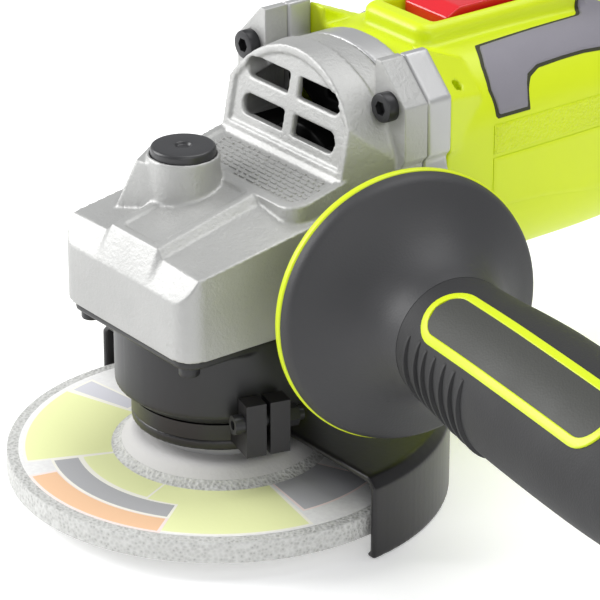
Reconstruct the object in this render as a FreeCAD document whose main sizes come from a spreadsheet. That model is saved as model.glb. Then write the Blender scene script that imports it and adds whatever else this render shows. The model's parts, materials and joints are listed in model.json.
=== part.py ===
"""Angle grinder for a 125 mm disc, as a parametric assembly.

Frame: the origin is the tip of the spindle thread, +Z runs up the spindle, +Y runs back along the
motor, and the side handle stands out towards +X. Millimetres throughout.
"""
import FreeCAD, Part
import Sketcher
import math
import os
import re
from FreeCAD import Placement, Rotation, Vector

UP = Vector(0, 0, 1)
BACK = Vector(0, 1, 0)
SIDE = Vector(1, 0, 0)

# ------------------------------------------------------------------ driving dimensions
DISC = {
    "disc_radius": 62.5, "disc_thickness": 6.6, "disc_low": -0.6, "disc_bore": 11.115,
    "hub_radius": 21.5, "hub_outer": 27.5, "hub_low": 7.0, "hub_top": 11.5, "disc_chamfer": 0.7,
    "label_inner": 32.0, "label_outer": 59.0, "label_thickness": 0.2,
}
SPINDLE = {
    "thread_radius": 7.0, "nose_length": 2.0, "nose_relief": 6.2, "flange_seat": 20.0,
    "shoulder_radius": 9.0, "bearing_low": 33.0,
    "bearing_top": 44.0, "bearing_bore": 7.5, "bearing_outer": 17.5, "gear_seat": 66.0,
    "gear_bore": 6.0, "journal_low": 74.0, "journal_radius": 4.0, "spindle_top": 81.4,
    "collar_radius": 7.4, "flange_radius": 20.0, "flange_pilot": 10.95, "pilot_low": 9.5,
    "flange_back": 13.8, "nut_low": 3.0, "nut_radius": 16.0, "nut_pilot_top": 9.2,
    "nut_pilot": 10.9, "spanner_circle": 12.0, "spanner_hole": 2.2, "thread_gap": 0.05,
    "ball_circle": 12.5, "balls": 9, "race_gap": 0.05, "inner_race": 10.6, "outer_race": 14.4,
    "bush_low": 78.0, "bush_top": 81.8, "bush_outer": 6.4, "bush_gap": 0.04,
    "seal_low": 26.0, "seal_top": 31.0, "seal_outer": 12.8, "seal_gap": 0.08,
}
GEARS = {
    "crown_teeth": 34, "pinion_teeth": 11, "crown_pitch": 20.5, "gear_face": 6.0,
    "addendum": 0.95, "dedendum": 1.25, "tooth_half": 0.80, "crown_tip_half": 0.46,
    "crown_root_half": 1.22, "pinion_tip_half": 0.34, "pinion_mid_half": 0.62,
    "pinion_low_half": 0.78, "pinion_root_half": 0.66, "web_top": 73.0, "crown_hub": 8.2,
    "crown_back": 66.0, "crown_web_outer": 14.45,
    "lock_circle": 11.8, "lock_hole": 2.5, "lock_holes": 4, "pinion_back": 26.0,
    "pinion_hub": 5.3, "pinion_nut_front": 11.5, "pinion_nut_back": 14.0, "pinion_nut_radius": 4.0,
}
LOCK = {
    "button_angle": 199.8, "button_radius": 9.42, "button_top": 96.5, "button_low": 90.5,
    "boss_radius": 10.5, "boss_top": 94.0, "button_gap": 0.08,
    "button_dimple": 2.1, "dimple_depth": 0.7, "pin_radius": 2.2, "pin_low": 74.0,
    "pin_gap": 0.06, "lock_travel": 3.5, "spring_radius": 4.2, "spring_wire": 0.45,
    "spring_low": 83.6, "spring_turns": 4, "well_radius": 7.0, "well_low": 83.2,
    "well_spare": 0.3, "wedge_low": 20.5, "wedge_high": 12.2, "wedge_radius": 7.6, "wedge_angle": 214.8,
}
COVER = {
    "spigot_radius": 22.4, "spigot_low": 14.5, "spigot_top": 24.2, "neck_waist": 25.8,
    "neck_radius": 30.5, "neck_shoulder": 28.0, "cover_top": 51.0, "cover_bore": 10.5,
    "register_radius": 21.8, "register_top": 53.0, "seat_step": 13.0, "plate_low": 48.0,
    "plate_half": 29.4, "plate_front": 32.6, "plate_corner": 6.0,
    "cover_screw_side": 24.0, "cover_screw_ahead": 28.0, "cover_screw": 1.9, "cover_head": 3.0,
    "cover_head_height": 2.8, "cover_screw_top": 56.5, "retainer_top": 46.5,
    "retainer_inner": 11.5,
}
HEAD = {
    "head_half": 31.0, "nose": 34.0, "nose_corner": 6.5, "rim_width": 2.8, "rim_depth": 0.7,
    "mark_side": 21.5, "mark_height": 54.2,
    "brow": 29.0, "shoulder_front": 75.4, "shoulder_slope": 0.124,
    "groove_half": 13.4, "strip_half": 11.0, "strip_front": 78.5, "strip_slope": 0.245,
    "groove_depth": 2.4, "strip_toe": 67.7, "gear_room": 22.4, "room_rim": 76.6, "room_top": 78.6,
    "room_inner": 14.0, "panel_front": 4.5, "panel_half": 29.0, "vent_base": 22.0,
    "vent_base_height": 91.0, "vent_lean": 0.197, "vent_half": 28.0, "vent_straight": 106.0,
    "vent_top": 121.5, "bell_half": 35.5, "bell_top": 122.0, "bell_straight": 96.0,
    "cheek_half": 37.6, "cheek_rise": 32.0,
    "flange_front": 36.0, "flange_end": 44.0, "flange_half": 39.0, "flange_top": 124.0,
    "flange_low": 49.0, "flange_round": 39.0, "ear_size": 13.5, "ear_chamfer": 11.0,
    "ear_foot": 97.0,
    "screw_side": 32.0, "screw_high": 112.0, "screw_deep": 56.0, "screw_radius": 2.0,
    "screw_head": 4.3, "screw_head_height": 3.4, "screw_length": 24.0,
    "slot_inner": 2.2, "slot_outer": 21.5, "slot_high": 110.6, "slot_deep": 99.6,
    "slot_half": 3.1, "vent_wall": 3.0, "chamber_half": 24.0, "chamber_low": 94.5,
    "chamber_top": 117.0, "throat_radius": 17.7,
}
MOTOR = {
    "motor_axis": 81.0, "shaft_radius": 5.0, "shaft_nose": 3.0, "shaft_front": 10.6,
    "shaft_back": 170.0, "shaft_tail": 4.0, "shaft_step": 156.0,
    "front_bearing": 32.0, "front_bearing_back": 40.0, "front_bearing_radius": 13.0,
    "rear_bearing": 159.0, "rear_bearing_back": 166.0, "rear_bearing_radius": 11.0,
    "sleeve_wall": 2.0, "bearing_gap": 0.05,
    "bracket_back": 53.0, "bracket_web": 47.0, "bracket_outer": 38.0, "bracket_rim": 34.5,
    "seat_outer": 17.5, "seat_front": 29.0, "bracket_windows": 6, "window_inner": 20.0,
    "window_outer": 31.0, "window_half": 7.0,
    "fan_front": 55.0, "fan_plate": 64.0, "fan_end": 66.0, "fan_radius": 28.0, "fan_hub": 9.0,
    "fan_blades": 15, "blade_thickness": 1.4, "baffle_front": 68.0, "baffle_back": 70.0,
    "baffle_inner": 20.0, "baffle_outer": 27.6,
    "core_front": 78.0, "core_back": 124.0, "core_outer": 17.0, "winding_front": 71.0,
    "winding_back": 132.0, "winding_radius": 15.0, "core_slots": 12, "core_slot_half": 1.3,
    "core_slot_floor": 12.0,
    "commutator_front": 136.0, "commutator_back": 152.0, "commutator_radius": 11.0, "bars": 24,
    "bar_gap": 0.35, "bar_gap_depth": 1.2,
    "stator_bore": 17.7, "stator_radius": 30.0, "stator_flat": 26.5, "stator_window": 22.5,
    "coil_front": 72.5, "coil_back": 131.0, "coil_inner": 19.0, "coil_outer": 25.0,
    "coil_half": 14.0,
    "brush_back": 139.5, "brush_length": 9.0, "brush_high": 6.0, "brush_reach": 20.0,
    "brush_gap": 0.15, "holder_wall": 1.2, "holder_reach": 25.6, "holder_inner": 13.5,
    "brush_spring_radius": 2.2,
}
HOUSING = {
    "housing_front": 53.0, "housing_mid": 100.0, "housing_taper": 138.0, "housing_back": 152.0,
    "front_half": 36.5, "mid_half": 36.0, "taper_half": 33.0, "back_half": 30.0,
    "front_rise": 35.5, "mid_rise": 33.6, "taper_rise": 32.0, "back_rise": 30.0,
    "front_axis": 82.3, "mid_axis": 84.4, "taper_axis": 83.8, "tail_axis": 84.0, "corner_share": 0.62, "wall": 2.6,
    "tail_neck": 180.0, "tail_waist": 225.0, "tail_flare": 248.0, "tail_end": 255.0,
    "neck_half": 26.0, "waist_half": 24.5, "flare_half": 27.0, "end_half": 23.0,
    "neck_rise": 26.0, "waist_rise": 25.0, "flare_rise": 28.0, "end_rise": 24.0, "seam": 0.05,
    "tail_screw_radius": 1.6, "tail_screw_head": 3.2, "inlet_radius": 8.0, "inlet_bore": 4.2,
    "inlet_back": 262.0, "inlet_front": 244.0, "inlet_groove": 6.4,
    "tail_slots": 5, "tail_slot_half": 1.2, "tail_slot_pitch": 5.0, "tail_slot_rise": 9.0,
    "tail_slot_front": 160.0,
    "grip_front": 69.0, "grip_back": 122.0, "grip_low": 98.0, "grip_high": 116.5,
    "grip_proud": 0.9, "grip_in": 16.0,
}
SWITCH = {
    "pocket_half": 11.5, "pocket_front": 68.0, "pocket_back": 120.0, "pocket_floor": 117.0,
    "slider_half": 9.6, "slider_front": 75.0, "slider_back": 112.0, "slider_low": 117.4,
    "slider_top": 125.4, "slider_rib": 127.6, "pocket_lip": 124.0,
    "lip_half": 15.0, "lip_front": 62.0, "lip_back": 126.0,
    "stem_half": 3.0, "stem_front": 90.0, "stem_back": 96.0, "switch_travel": 6.0,
    "rod_radius": 1.2, "rod_height": 109.8, "rod_low": 103.6, "rod_bend": 144.0,
    "rod_back": 184.0, "block_front": 187.0,
    "block_back": 214.0, "block_half": 9.0, "block_low": 76.0, "block_high": 100.0,
}
GUARD = {
    "guard_radius": 66.8, "guard_wall": 2.0, "guard_low": -6.0, "guard_top": 19.0,
    "guard_plate": 2.0, "guard_edge": 4.0, "collar_inner": 22.46, "collar_outer": 23.9,
    "collar_top": 23.8, "collar_low": 15.6, "bead_radius": 25.9, "guard_bend": 3.0,
    "band_outer": 25.9, "band_low": 19.0, "lug_inner": 31.2, "lug_outer": 37.4,
    "lug_top": 35.0, "lug_half": 6.6, "lug_turn": -15.0, "lug_gap": 0.6, "clamp_screw_radius": 1.9,
    "clamp_head": 2.8, "clamp_height": 28.6, "clamp_nut_radius": 3.2, "lip_inner": 63.6,
    "lip_height": 1.6,
}
HANDLE = {
    "socket_side": 49.5, "socket_back": 23.1, "socket_height": 64.4, "socket_radius": 4.0,
    "socket_depth": 20.0, "socket_boss": 10.5, "spare_side": 38.0, "spare_back": 25.5,
    "spare_height": 62.6, "spare_depth": 14.0, "cant_forward": 11.9, "cant_up": 2.8,
    "boss_length": 18.0, "stud_radius": 3.95, "stud_in": 18.0, "stud_out": 70.0,
    "shield_hub": 13.0, "shield_hub_end": 5.0, "rim_back": 7.0, "rim_front": 10.0,
    "rim_radius": 39.4, "rim_inner": 27.0, "shield_radius": 39.0, "shield_lip": 13.4,
    "shield_cone": 18.0, "shield_cone_radius": 30.0, "shield_neck": 24.0,
    "shield_neck_radius": 23.5, "shield_throat": 31.0, "shield_throat_radius": 19.5,
    "sleeve_start": 38.0, "sleeve_front": 18.0, "handle_bore": 14.0,
    "sleeve_swell": 68.0, "sleeve_swell_radius": 19.6, "sleeve_belly": 85.0,
    "sleeve_radius": 20.3, "sleeve_fade": 125.0, "sleeve_end": 158.0, "sleeve_back": 19.0,
    "cap_end": 165.0, "cap_radius": 18.6, "cap_round": 15.5,
    "badge_start": 42.0, "badge_end": 142.0, "badge_half": 9.3, "badge_width": 2.7,
    "badge_proud": 0.5, "badge_tilt": 54.0,
}
SECTIONS = (DISC, SPINDLE, GEARS, LOCK, COVER, HEAD, MOTOR, HOUSING, SWITCH, GUARD, HANDLE)

doc = FreeCAD.newDocument("AngleGrinder")
sheet = doc.addObject("Spreadsheet::Sheet", "sizes")
row = 0
for section in SECTIONS:
    for alias, value in section.items():
        row += 1
        sheet.set(f"A{row}", alias)
        sheet.set(f"B{row}", str(value))
        sheet.setAlias(f"B{row}", alias)
doc.recompute()


class Sizes:
    """Reads a driving dimension from the sheet by its alias."""

    def __getattr__(self, alias):
        return float(sheet.get(alias))


S = Sizes()
kept = []

# ------------------------------------------------------------------ places
ON_SPINDLE = Placement()
ON_MOTOR = Placement(Vector(0, 0, S.motor_axis), Rotation(SIDE, -90))


def handle_place():
    """The side handle's own frame: local +Z runs out along the handle from the socket's mouth."""
    forward = math.radians(S.cant_forward)
    lift = math.radians(S.cant_up)
    along = Vector(math.cos(forward) * math.cos(lift), -math.sin(forward) * math.cos(lift),
                   math.sin(lift))
    turn = Rotation(UP, along)
    return Placement(Vector(S.socket_side, S.socket_back, S.socket_height), turn)


ON_HANDLE = handle_place()


def lock_point(height):
    """A point on the lock pin's axis."""
    angle = math.radians(S.button_angle)
    return Vector(S.lock_circle * math.cos(angle), S.lock_circle * math.sin(angle), height)


# ------------------------------------------------------------------ ways of making a piece
def linked(text):
    """Turn the sheet's aliases in a formula into references to the sheet."""
    return re.sub(r"\b[a-z][a-z0-9_]*\b", lambda word: "sizes." + word.group(0), text)


def keep(thing, label):
    """Give a finished sub-part its name, and list it for export."""
    thing.Label = label
    kept.append(thing)
    return thing


def origin_plane(body, role):
    """The body's own origin plane of that role."""
    return next(item for item in body.Origin.OriginFeatures if item.Role == role)


def outline(body, role, corners, name):
    """A closed sketch through corners, each a pair of formulas in the sheet's aliases."""
    sketch = body.newObject("Sketcher::SketchObject", name)
    sketch.AttachmentSupport = (origin_plane(body, role), [""])
    sketch.MapMode = "FlatFace"
    count = len(corners)
    start = [Vector(40 + 20 * math.cos(2 * math.pi * i / count),
                    40 + 20 * math.sin(2 * math.pi * i / count), 0) for i in range(count)]
    for i in range(count):
        sketch.addGeometry(Part.LineSegment(start[i], start[(i + 1) % count]), False)
    for i in range(count):
        sketch.addConstraint(Sketcher.Constraint("Coincident", i, 2, (i + 1) % count, 1))
    for i, (across, up) in enumerate(corners):
        for kind, formula, value in (("DistanceX", across, start[i].x), ("DistanceY", up, start[i].y)):
            index = sketch.addConstraint(Sketcher.Constraint(kind, -1, 1, i, 1, value))
            sketch.setExpression(f"Constraints[{index}]", linked(formula))
    return sketch


def turned_body(label, place, corners):
    """A body turned about its own Z axis from (radius, height) corners."""
    body = doc.addObject("PartDesign::Body", label)
    sketch = outline(body, "XZ_Plane", corners, label + "_profile")
    turning = body.newObject("PartDesign::Revolution", label + "_turning")
    turning.Profile = sketch
    turning.ReferenceAxis = (sketch, ["V_Axis"])
    turning.Angle = 360
    body.Placement = place
    return body


def turned(label, place, corners):
    """A turned sub-part that is finished as it is."""
    return keep(turned_body(label, place, corners), label)


def ring(label, place, inner, outer, low, high):
    """A plain turned ring."""
    return turned(label, place, [(inner, low), (outer, low), (outer, high), (inner, high)])


def cylinder(name, radius, height, place):
    """A cylinder primitive whose radius and height follow the sheet."""
    thing = doc.addObject("Part::Cylinder", name)
    thing.setExpression("Radius", linked(radius))
    thing.setExpression("Height", linked(height))
    thing.Placement = place
    return thing


def box(name, length, width, height, corner):
    """A box primitive whose sides and corner follow the sheet."""
    thing = doc.addObject("Part::Box", name)
    for key, formula in zip(("Length", "Width", "Height"), (length, width, height)):
        thing.setExpression(key, linked(formula))
    for key, formula in zip("xyz", corner):
        thing.setExpression(f"Placement.Base.{key}", linked(formula))
    return thing


def joined(name, things):
    """Several primitives fused to one."""
    fuse = doc.addObject("Part::MultiFuse", name)
    fuse.Shapes = things
    return fuse


def minus(name, base, tool):
    """One object cut by another."""
    cut = doc.addObject("Part::Cut", name)
    cut.Base = base
    cut.Tool = tool
    return cut


def shaped(label, shape, place=None):
    """A sub-part whose shape comes from Part's own functions."""
    thing = doc.addObject("Part::Feature", label)
    thing.Shape = shape
    if place is not None:
        thing.Placement = place
    return keep(thing, label)


def block(x0, x1, y0, y1, z0, z1):
    """A box solid between two corners."""
    return Part.makeBox(x1 - x0, y1 - y0, z1 - z0, Vector(x0, y0, z0))


def rod(radius, start, end):
    """A round bar solid between two points."""
    return Part.makeCylinder(radius, (end - start).Length, start, end - start)


def prism(points, along):
    """The solid swept by a flat polygon along a vector."""
    wire = Part.makePolygon(points + [points[0]])
    return Part.Face(wire).extrude(along)


def solid_of(shape):
    """The single solid of a shape."""
    solids = shape.removeSplitter().Solids
    if len(solids) != 1:
        raise ValueError(f"expected one solid, found {len(solids)}")
    return solids[0]


def round_section(half, rise, share, centre, y):
    """A wire across the tool: a rectangle with large round corners, in the plane at y."""
    corner = share * min(half, rise)
    flat_x, flat_z = half - corner, rise - corner
    edges = []
    quarter = ((1, 1), (-1, 1), (-1, -1), (1, -1))
    for i, (sx, sz) in enumerate(quarter):
        middle = Vector(sx * flat_x, y, centre + sz * flat_z)
        begin = math.radians(90 * i)
        points = [middle + Vector(math.cos(begin + t), 0, math.sin(begin + t)) * corner
                  for t in (0, math.pi / 4, math.pi / 2)]
        edges.append(Part.Arc(*points).toShape())
    wire = []
    for i in range(4):
        wire.append(edges[i])
        gap_start = edges[i].Vertexes[-1].Point
        gap_end = edges[(i + 1) % 4].Vertexes[0].Point
        wire.append(Part.makeLine(gap_start, gap_end))
    return Part.Wire(wire)


def tube_loft(stations, inset, share):
    """A solid through round sections. Each station is (y, half width, half height, centre)."""
    wires = [round_section(half - inset, rise - inset, share, centre, y)
             for y, half, rise, centre in stations]
    return Part.makeLoft(wires, True, False)


# ------------------------------------------------------------------ disc and its fastening
def make_disc():
    """Depressed-centre grinding disc, its paper label, the two flanges that hold it."""
    base = Placement(Vector(0, 0, S.disc_low), Rotation())
    turned("grinding_disc", base, [
        ("disc_bore", "hub_low - disc_low"), ("hub_radius", "hub_low - disc_low"),
        ("hub_outer", "0"), ("disc_radius - disc_chamfer", "0"), ("disc_radius", "disc_chamfer"),
        ("disc_radius", "disc_thickness - disc_chamfer"),
        ("disc_radius - disc_chamfer", "disc_thickness"), ("hub_outer + 3.5", "disc_thickness"),
        ("hub_radius + 4", "hub_top - disc_low"), ("disc_bore", "hub_top - disc_low")])
    ring("disc_label", base, "label_inner", "label_outer", "disc_thickness",
         "disc_thickness + label_thickness")
    turned("inner_flange", ON_SPINDLE, [
        ("thread_radius + thread_gap", "pilot_low"), ("flange_pilot", "pilot_low"),
        ("flange_pilot", "hub_top"), ("flange_radius", "hub_top"),
        ("flange_radius", "flange_back - 0.8"), ("flange_radius - 3", "flange_back"),
        ("shoulder_radius", "flange_back"), ("shoulder_radius", "flange_seat"),
        ("thread_radius + thread_gap", "flange_seat")])
    nut = turned_body("lock_nut", ON_SPINDLE, [
        ("thread_radius + thread_gap", "nut_low"), ("nut_radius - 1", "nut_low"),
        ("nut_radius", "nut_low + 1"), ("nut_radius", "hub_low"), ("nut_pilot", "hub_low"),
        ("nut_pilot", "nut_pilot_top"), ("thread_radius + thread_gap", "nut_pilot_top")])
    hole = nut.newObject("Sketcher::SketchObject", "spanner_hole_profile")
    hole.AttachmentSupport = (origin_plane(nut, "XY_Plane"), [""])
    hole.MapMode = "FlatFace"
    hole.addGeometry(Part.Circle(Vector(S.spanner_circle, 0, 0), UP, S.spanner_hole), False)
    centre = hole.addConstraint(Sketcher.Constraint("DistanceX", -1, 1, 0, 3, S.spanner_circle))
    hole.addConstraint(Sketcher.Constraint("PointOnObject", 0, 3, -1))
    width = hole.addConstraint(Sketcher.Constraint("Radius", 0, S.spanner_hole))
    hole.setExpression(f"Constraints[{centre}]", linked("spanner_circle"))
    hole.setExpression(f"Constraints[{width}]", linked("spanner_hole"))
    doc.recompute()
    solid_before = nut.Shape.Volume
    pocket = nut.newObject("PartDesign::Pocket", "spanner_hole")
    pocket.Profile = hole
    pocket.Reversed = True
    pocket.setExpression("Length", linked("nut_pilot_top"))
    pattern = nut.newObject("PartDesign::PolarPattern", "spanner_holes")
    pattern.Originals = [pocket]
    pattern.Axis = (hole, ["N_Axis"])
    pattern.Angle = 360
    pattern.Occurrences = 4
    nut.Tip = pattern
    doc.recompute()
    if nut.Shape.Volume >= solid_before:
        raise ValueError("the spanner holes cut nothing")
    keep(nut, "lock_nut")


# ------------------------------------------------------------------ spindle and its bearings
def make_spindle():
    """The output spindle, its ball bearing, top bush and seal."""
    turned("spindle", ON_SPINDLE, [
        ("0", "0"), ("thread_radius", "0"), ("thread_radius", "nose_length"),
        ("nose_relief", "nose_length"), ("nose_relief", "nut_low"), ("thread_radius", "nut_low"),
        ("thread_radius", "flange_seat"),
        ("shoulder_radius", "flange_seat"),
        ("shoulder_radius", "bearing_low"), ("bearing_bore", "bearing_low"),
        ("bearing_bore", "bearing_top"), ("collar_radius", "bearing_top"),
        ("collar_radius", "gear_seat"), ("gear_bore", "gear_seat"), ("gear_bore", "journal_low"),
        ("journal_radius", "journal_low"), ("journal_radius", "spindle_top"), ("0", "spindle_top")])
    ring("spindle_bearing_outer", ON_SPINDLE, "outer_race", "bearing_outer", "bearing_low",
         "bearing_top")
    inner = Part.makeCylinder(S.inner_race, S.bearing_top - S.bearing_low,
                              Vector(0, 0, S.bearing_low))
    inner = inner.cut(Part.makeCylinder(S.bearing_bore, S.spindle_top))
    middle = (S.bearing_low + S.bearing_top) / 2
    ball_size = (S.outer_race - S.inner_race) / 2 - S.race_gap
    pieces = [inner]
    for i in range(int(S.balls)):
        angle = 2 * math.pi * i / S.balls
        at = Vector(S.ball_circle * math.cos(angle), S.ball_circle * math.sin(angle), middle)
        pieces.append(Part.makeSphere(ball_size, at))
    shaped("spindle_bearing_inner", Part.makeCompound(pieces))
    ring("top_bush", ON_SPINDLE, "journal_radius + bush_gap", "bush_outer", "bush_low", "bush_top")
    ring("dust_seal", ON_SPINDLE, "shoulder_radius + seal_gap", "seal_outer", "seal_low", "seal_top")
    ring("bearing_retainer", ON_SPINDLE, "retainer_inner", "bearing_outer - 0.1", "bearing_top",
         "retainer_top")


# ------------------------------------------------------------------ bevel gears
def bevel_tooth(cone, distance, face, levels):
    """One straight bevel tooth, tapering to the apex at the local origin.

    The gear's axis is local -Z. cone is the pitch cone's half angle, and levels lists the
    tooth's half thickness at heights above the pitch cone, from the root up.
    """
    out = Vector(math.sin(cone), 0, -math.cos(cone)) * distance
    rise = Vector(math.cos(cone), 0, math.sin(cone))
    left = [out + rise * height + Vector(0, half, 0) for height, half in levels]
    right = [out + rise * height - Vector(0, half, 0) for height, half in reversed(levels)]
    large = left + right
    share = (distance - face) / distance
    small = [point * share for point in large]
    count = len(large)
    faces = [Part.Face(Part.makePolygon(large + [large[0]])),
             Part.Face(Part.makePolygon(small + [small[0]]))]
    for i in range(count):
        j = (i + 1) % count
        faces.append(Part.Face(Part.makePolygon([large[i], large[j], small[j], small[i], large[i]])))
    tooth = Part.makeSolid(Part.makeShell(faces))
    if tooth.Volume < 0:
        tooth.reverse()
    return tooth


def turned_solid(points):
    """A solid turned about Z from (radius, height) numbers."""
    corners = [Vector(radius, 0, height) for radius, height in points]
    return Part.Face(Part.makePolygon(corners + [corners[0]])).revolve(Vector(), UP, 360)


def make_gears():
    """Crown gear on the spindle, pinion on the armature shaft. Their axes meet at the apex."""
    cone = math.atan2(S.crown_teeth, S.pinion_teeth)
    distance = S.crown_pitch / math.sin(cone)
    share = (distance - S.gear_face) / distance
    sunk = 0.25

    def root(angle, scale):
        radius = (distance * math.sin(angle) - S.dedendum * math.cos(angle)) * scale
        height = -(distance * math.cos(angle) + S.dedendum * math.sin(angle)) * scale
        return radius, height

    apex = S.motor_axis
    outer, inner = root(cone, 1), root(cone, share)
    blank = turned_solid([
        (S.gear_bore, S.crown_back - apex), (outer[0], S.crown_back - apex), outer, inner,
        (S.crown_web_outer, S.web_top - apex), (S.crown_hub, S.web_top - apex),
        (S.crown_hub, S.journal_low - apex), (S.gear_bore, S.journal_low - apex)])
    levels = [(-S.dedendum - sunk, S.crown_root_half + sunk / 3), (-S.dedendum, S.crown_root_half),
              (0, S.tooth_half), (S.addendum, S.crown_tip_half)]
    tooth = bevel_tooth(cone, distance, S.gear_face, levels)
    step = 360 / S.crown_teeth
    teeth = [tooth.rotated(Vector(), UP, 90 + step * (i + 0.5)) for i in range(int(S.crown_teeth))]
    crown = blank.fuse(teeth)
    angle = math.radians(S.button_angle)
    for i in range(int(S.lock_holes)):
        turn = angle + 2 * math.pi * i / S.lock_holes
        at = Vector(S.lock_circle * math.cos(turn), S.lock_circle * math.sin(turn),
                    S.crown_back - apex - 1)
        crown = crown.cut(Part.makeCylinder(S.lock_hole, 20, at))
    shaped("crown_gear", solid_of(crown), Placement(Vector(0, 0, apex), Rotation()))

    small_cone = math.pi / 2 - cone
    outer, inner = root(small_cone, 1), root(small_cone, share)
    blank = turned_solid([
        (S.shaft_nose, -S.pinion_back), (S.pinion_hub, -S.pinion_back), (S.pinion_hub, outer[1]),
        outer, inner, (S.shaft_nose, inner[1])])
    waist = -S.dedendum * 0.35
    levels = [(-S.dedendum - sunk, S.pinion_root_half), (-S.dedendum, S.pinion_root_half),
              (waist, S.pinion_low_half), (0, S.tooth_half - 0.04),
              (S.addendum / 2, S.pinion_mid_half), (S.addendum, S.pinion_tip_half)]
    tooth = bevel_tooth(small_cone, distance, S.gear_face, levels)
    step = 360 / S.pinion_teeth
    teeth = [tooth.rotated(Vector(), UP, 90 + step * (i + 0.5)) for i in range(int(S.pinion_teeth))]
    pinion = blank.fuse(teeth)
    to_motor = Placement(Vector(0, 0, apex), Rotation(SIDE, 90))
    shaped("pinion", solid_of(pinion), to_motor)
    nut = doc.addObject("Part::Prism", "pinion_nut_hex")
    nut.Polygon = 6
    nut.setExpression("Circumradius", linked("pinion_nut_radius"))
    nut.setExpression("Height", linked("pinion_nut_back - pinion_nut_front"))
    nut.Placement = Placement(Vector(0, S.pinion_nut_front, S.motor_axis), Rotation(SIDE, -90))
    hole = cylinder("pinion_nut_thread", "shaft_nose", "pinion_back",
                    Placement(Vector(0, S.shaft_front, S.motor_axis), Rotation(SIDE, -90)))
    keep(minus("pinion_nut_cut", nut, hole), "pinion_nut")


# ------------------------------------------------------------------ spindle lock
def coil_solid(radius, wire, low, rise, turns):
    """A coil spring about Z, as a closed faceted tube."""
    steps, sides = 14 * turns, 6
    rings = []
    for i in range(steps + 1):
        turn = 2 * math.pi * turns * i / steps
        out = Vector(math.cos(turn), math.sin(turn), 0)
        middle = out * radius + Vector(0, 0, low + rise * i / steps)
        rings.append([middle + out * (wire * math.cos(2 * math.pi * j / sides))
                      + UP * (wire * math.sin(2 * math.pi * j / sides)) for j in range(sides)])
    triangles = []
    for one, two in zip(rings, rings[1:]):
        for j in range(sides):
            k = (j + 1) % sides
            triangles += [(one[j], two[j], two[k]), (one[j], two[k], one[k])]
    for ring_points in (rings[0], rings[-1]):
        triangles += [(ring_points[0], ring_points[j], ring_points[j + 1]) for j in range(1, sides - 1)]
    faces = [Part.Face(Part.makePolygon([p, q, r, p])) for p, q, r in triangles]
    solid = Part.makeSolid(Part.makeShell(faces))
    if solid.Volume < 0:
        solid.reverse()
    return solid


def make_lock():
    """Push button, its pin, and the spring that lifts them."""
    at = Placement(lock_point(0), Rotation())
    turned("lock_button", at, [
        ("0", "button_low"), ("button_radius", "button_low"), ("button_radius", "button_top - 1"),
        ("button_radius - 0.8", "button_top - 0.2"), ("button_radius - 1.6", "button_top"),
        ("button_dimple", "button_top"), ("button_dimple", "button_top - dimple_depth"),
        ("0", "button_top - dimple_depth")])
    turned("lock_pin", at, [
        ("0", "pin_low"), ("pin_radius - 0.4", "pin_low"), ("pin_radius", "pin_low + 0.4"),
        ("pin_radius", "button_low"), ("0", "button_low")])
    rise = S.button_low - S.spring_low - 2 * S.spring_wire
    spring = coil_solid(S.spring_radius, S.spring_wire, S.spring_low + S.spring_wire, rise,
                        int(S.spring_turns))
    shaped("lock_spring", spring, at)


# ------------------------------------------------------------------ bearing cover under the head
def rounded_plate(half, front, corner, low, high):
    """A flat plate with round corners, centred on the spindle."""
    plate = block(-half, half, -front, front, low, high)
    uprights = [edge for edge in plate.Edges if abs(edge.tangentAt(edge.FirstParameter).z) > 0.9]
    return plate.makeFillet(corner, uprights)


def screw_corners():
    """Where the cover's four screws stand."""
    return [Vector(side * S.cover_screw_side, ahead * S.cover_screw_ahead, 0)
            for side in (-1, 1) for ahead in (-1, 1)]


def make_cover():
    """The black bearing cover: spigot for the guard, neck, square plate with its screws."""
    neck = turned_solid([
        (S.cover_bore, S.spigot_low), (S.spigot_radius, S.spigot_low),
        (S.spigot_radius, S.spigot_top), (S.neck_waist, S.spigot_top),
        (S.neck_radius, S.neck_shoulder), (S.neck_radius, S.cover_top),
        (S.register_radius, S.cover_top), (S.register_radius, S.register_top),
        (S.bearing_outer, S.register_top), (S.bearing_outer, S.bearing_low),
        (S.seat_step, S.bearing_low), (S.seat_step, S.seal_low), (S.cover_bore, S.seal_low)])
    plate = rounded_plate(S.plate_half, S.plate_front, S.plate_corner, S.plate_low, S.cover_top)
    plate = plate.cut(Part.makeCylinder(S.register_radius, 60))
    cover = neck.fuse(plate)
    for corner in screw_corners():
        cover = cover.cut(Part.makeCylinder(S.cover_screw, 40, corner + Vector(0, 0, S.plate_low - 1)))
    shaped("bearing_cover", solid_of(cover))
    screws = []
    for corner in screw_corners():
        low = S.plate_low - S.cover_head_height
        head = Part.makeCylinder(S.cover_head, S.cover_head_height, corner + Vector(0, 0, low))
        head = head.cut(Part.makeCylinder(S.cover_screw * 0.7, 1.4, corner + Vector(0, 0, low)))
        shank = Part.makeCylinder(S.cover_screw, S.cover_screw_top - S.plate_low,
                                  corner + Vector(0, 0, S.plate_low))
        screws.append(head.fuse(shank).removeSplitter())
    shaped("cover_screws", Part.makeCompound(screws))


# ------------------------------------------------------------------ gear case
def strip_height(y):
    """Height of the raised strip along the top of the head."""
    return S.strip_front + S.strip_slope * (y + S.brow)


def shoulder_height(y):
    """Height of the head's outer shoulder line."""
    return S.shoulder_front + S.shoulder_slope * (y + S.brow)


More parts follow.
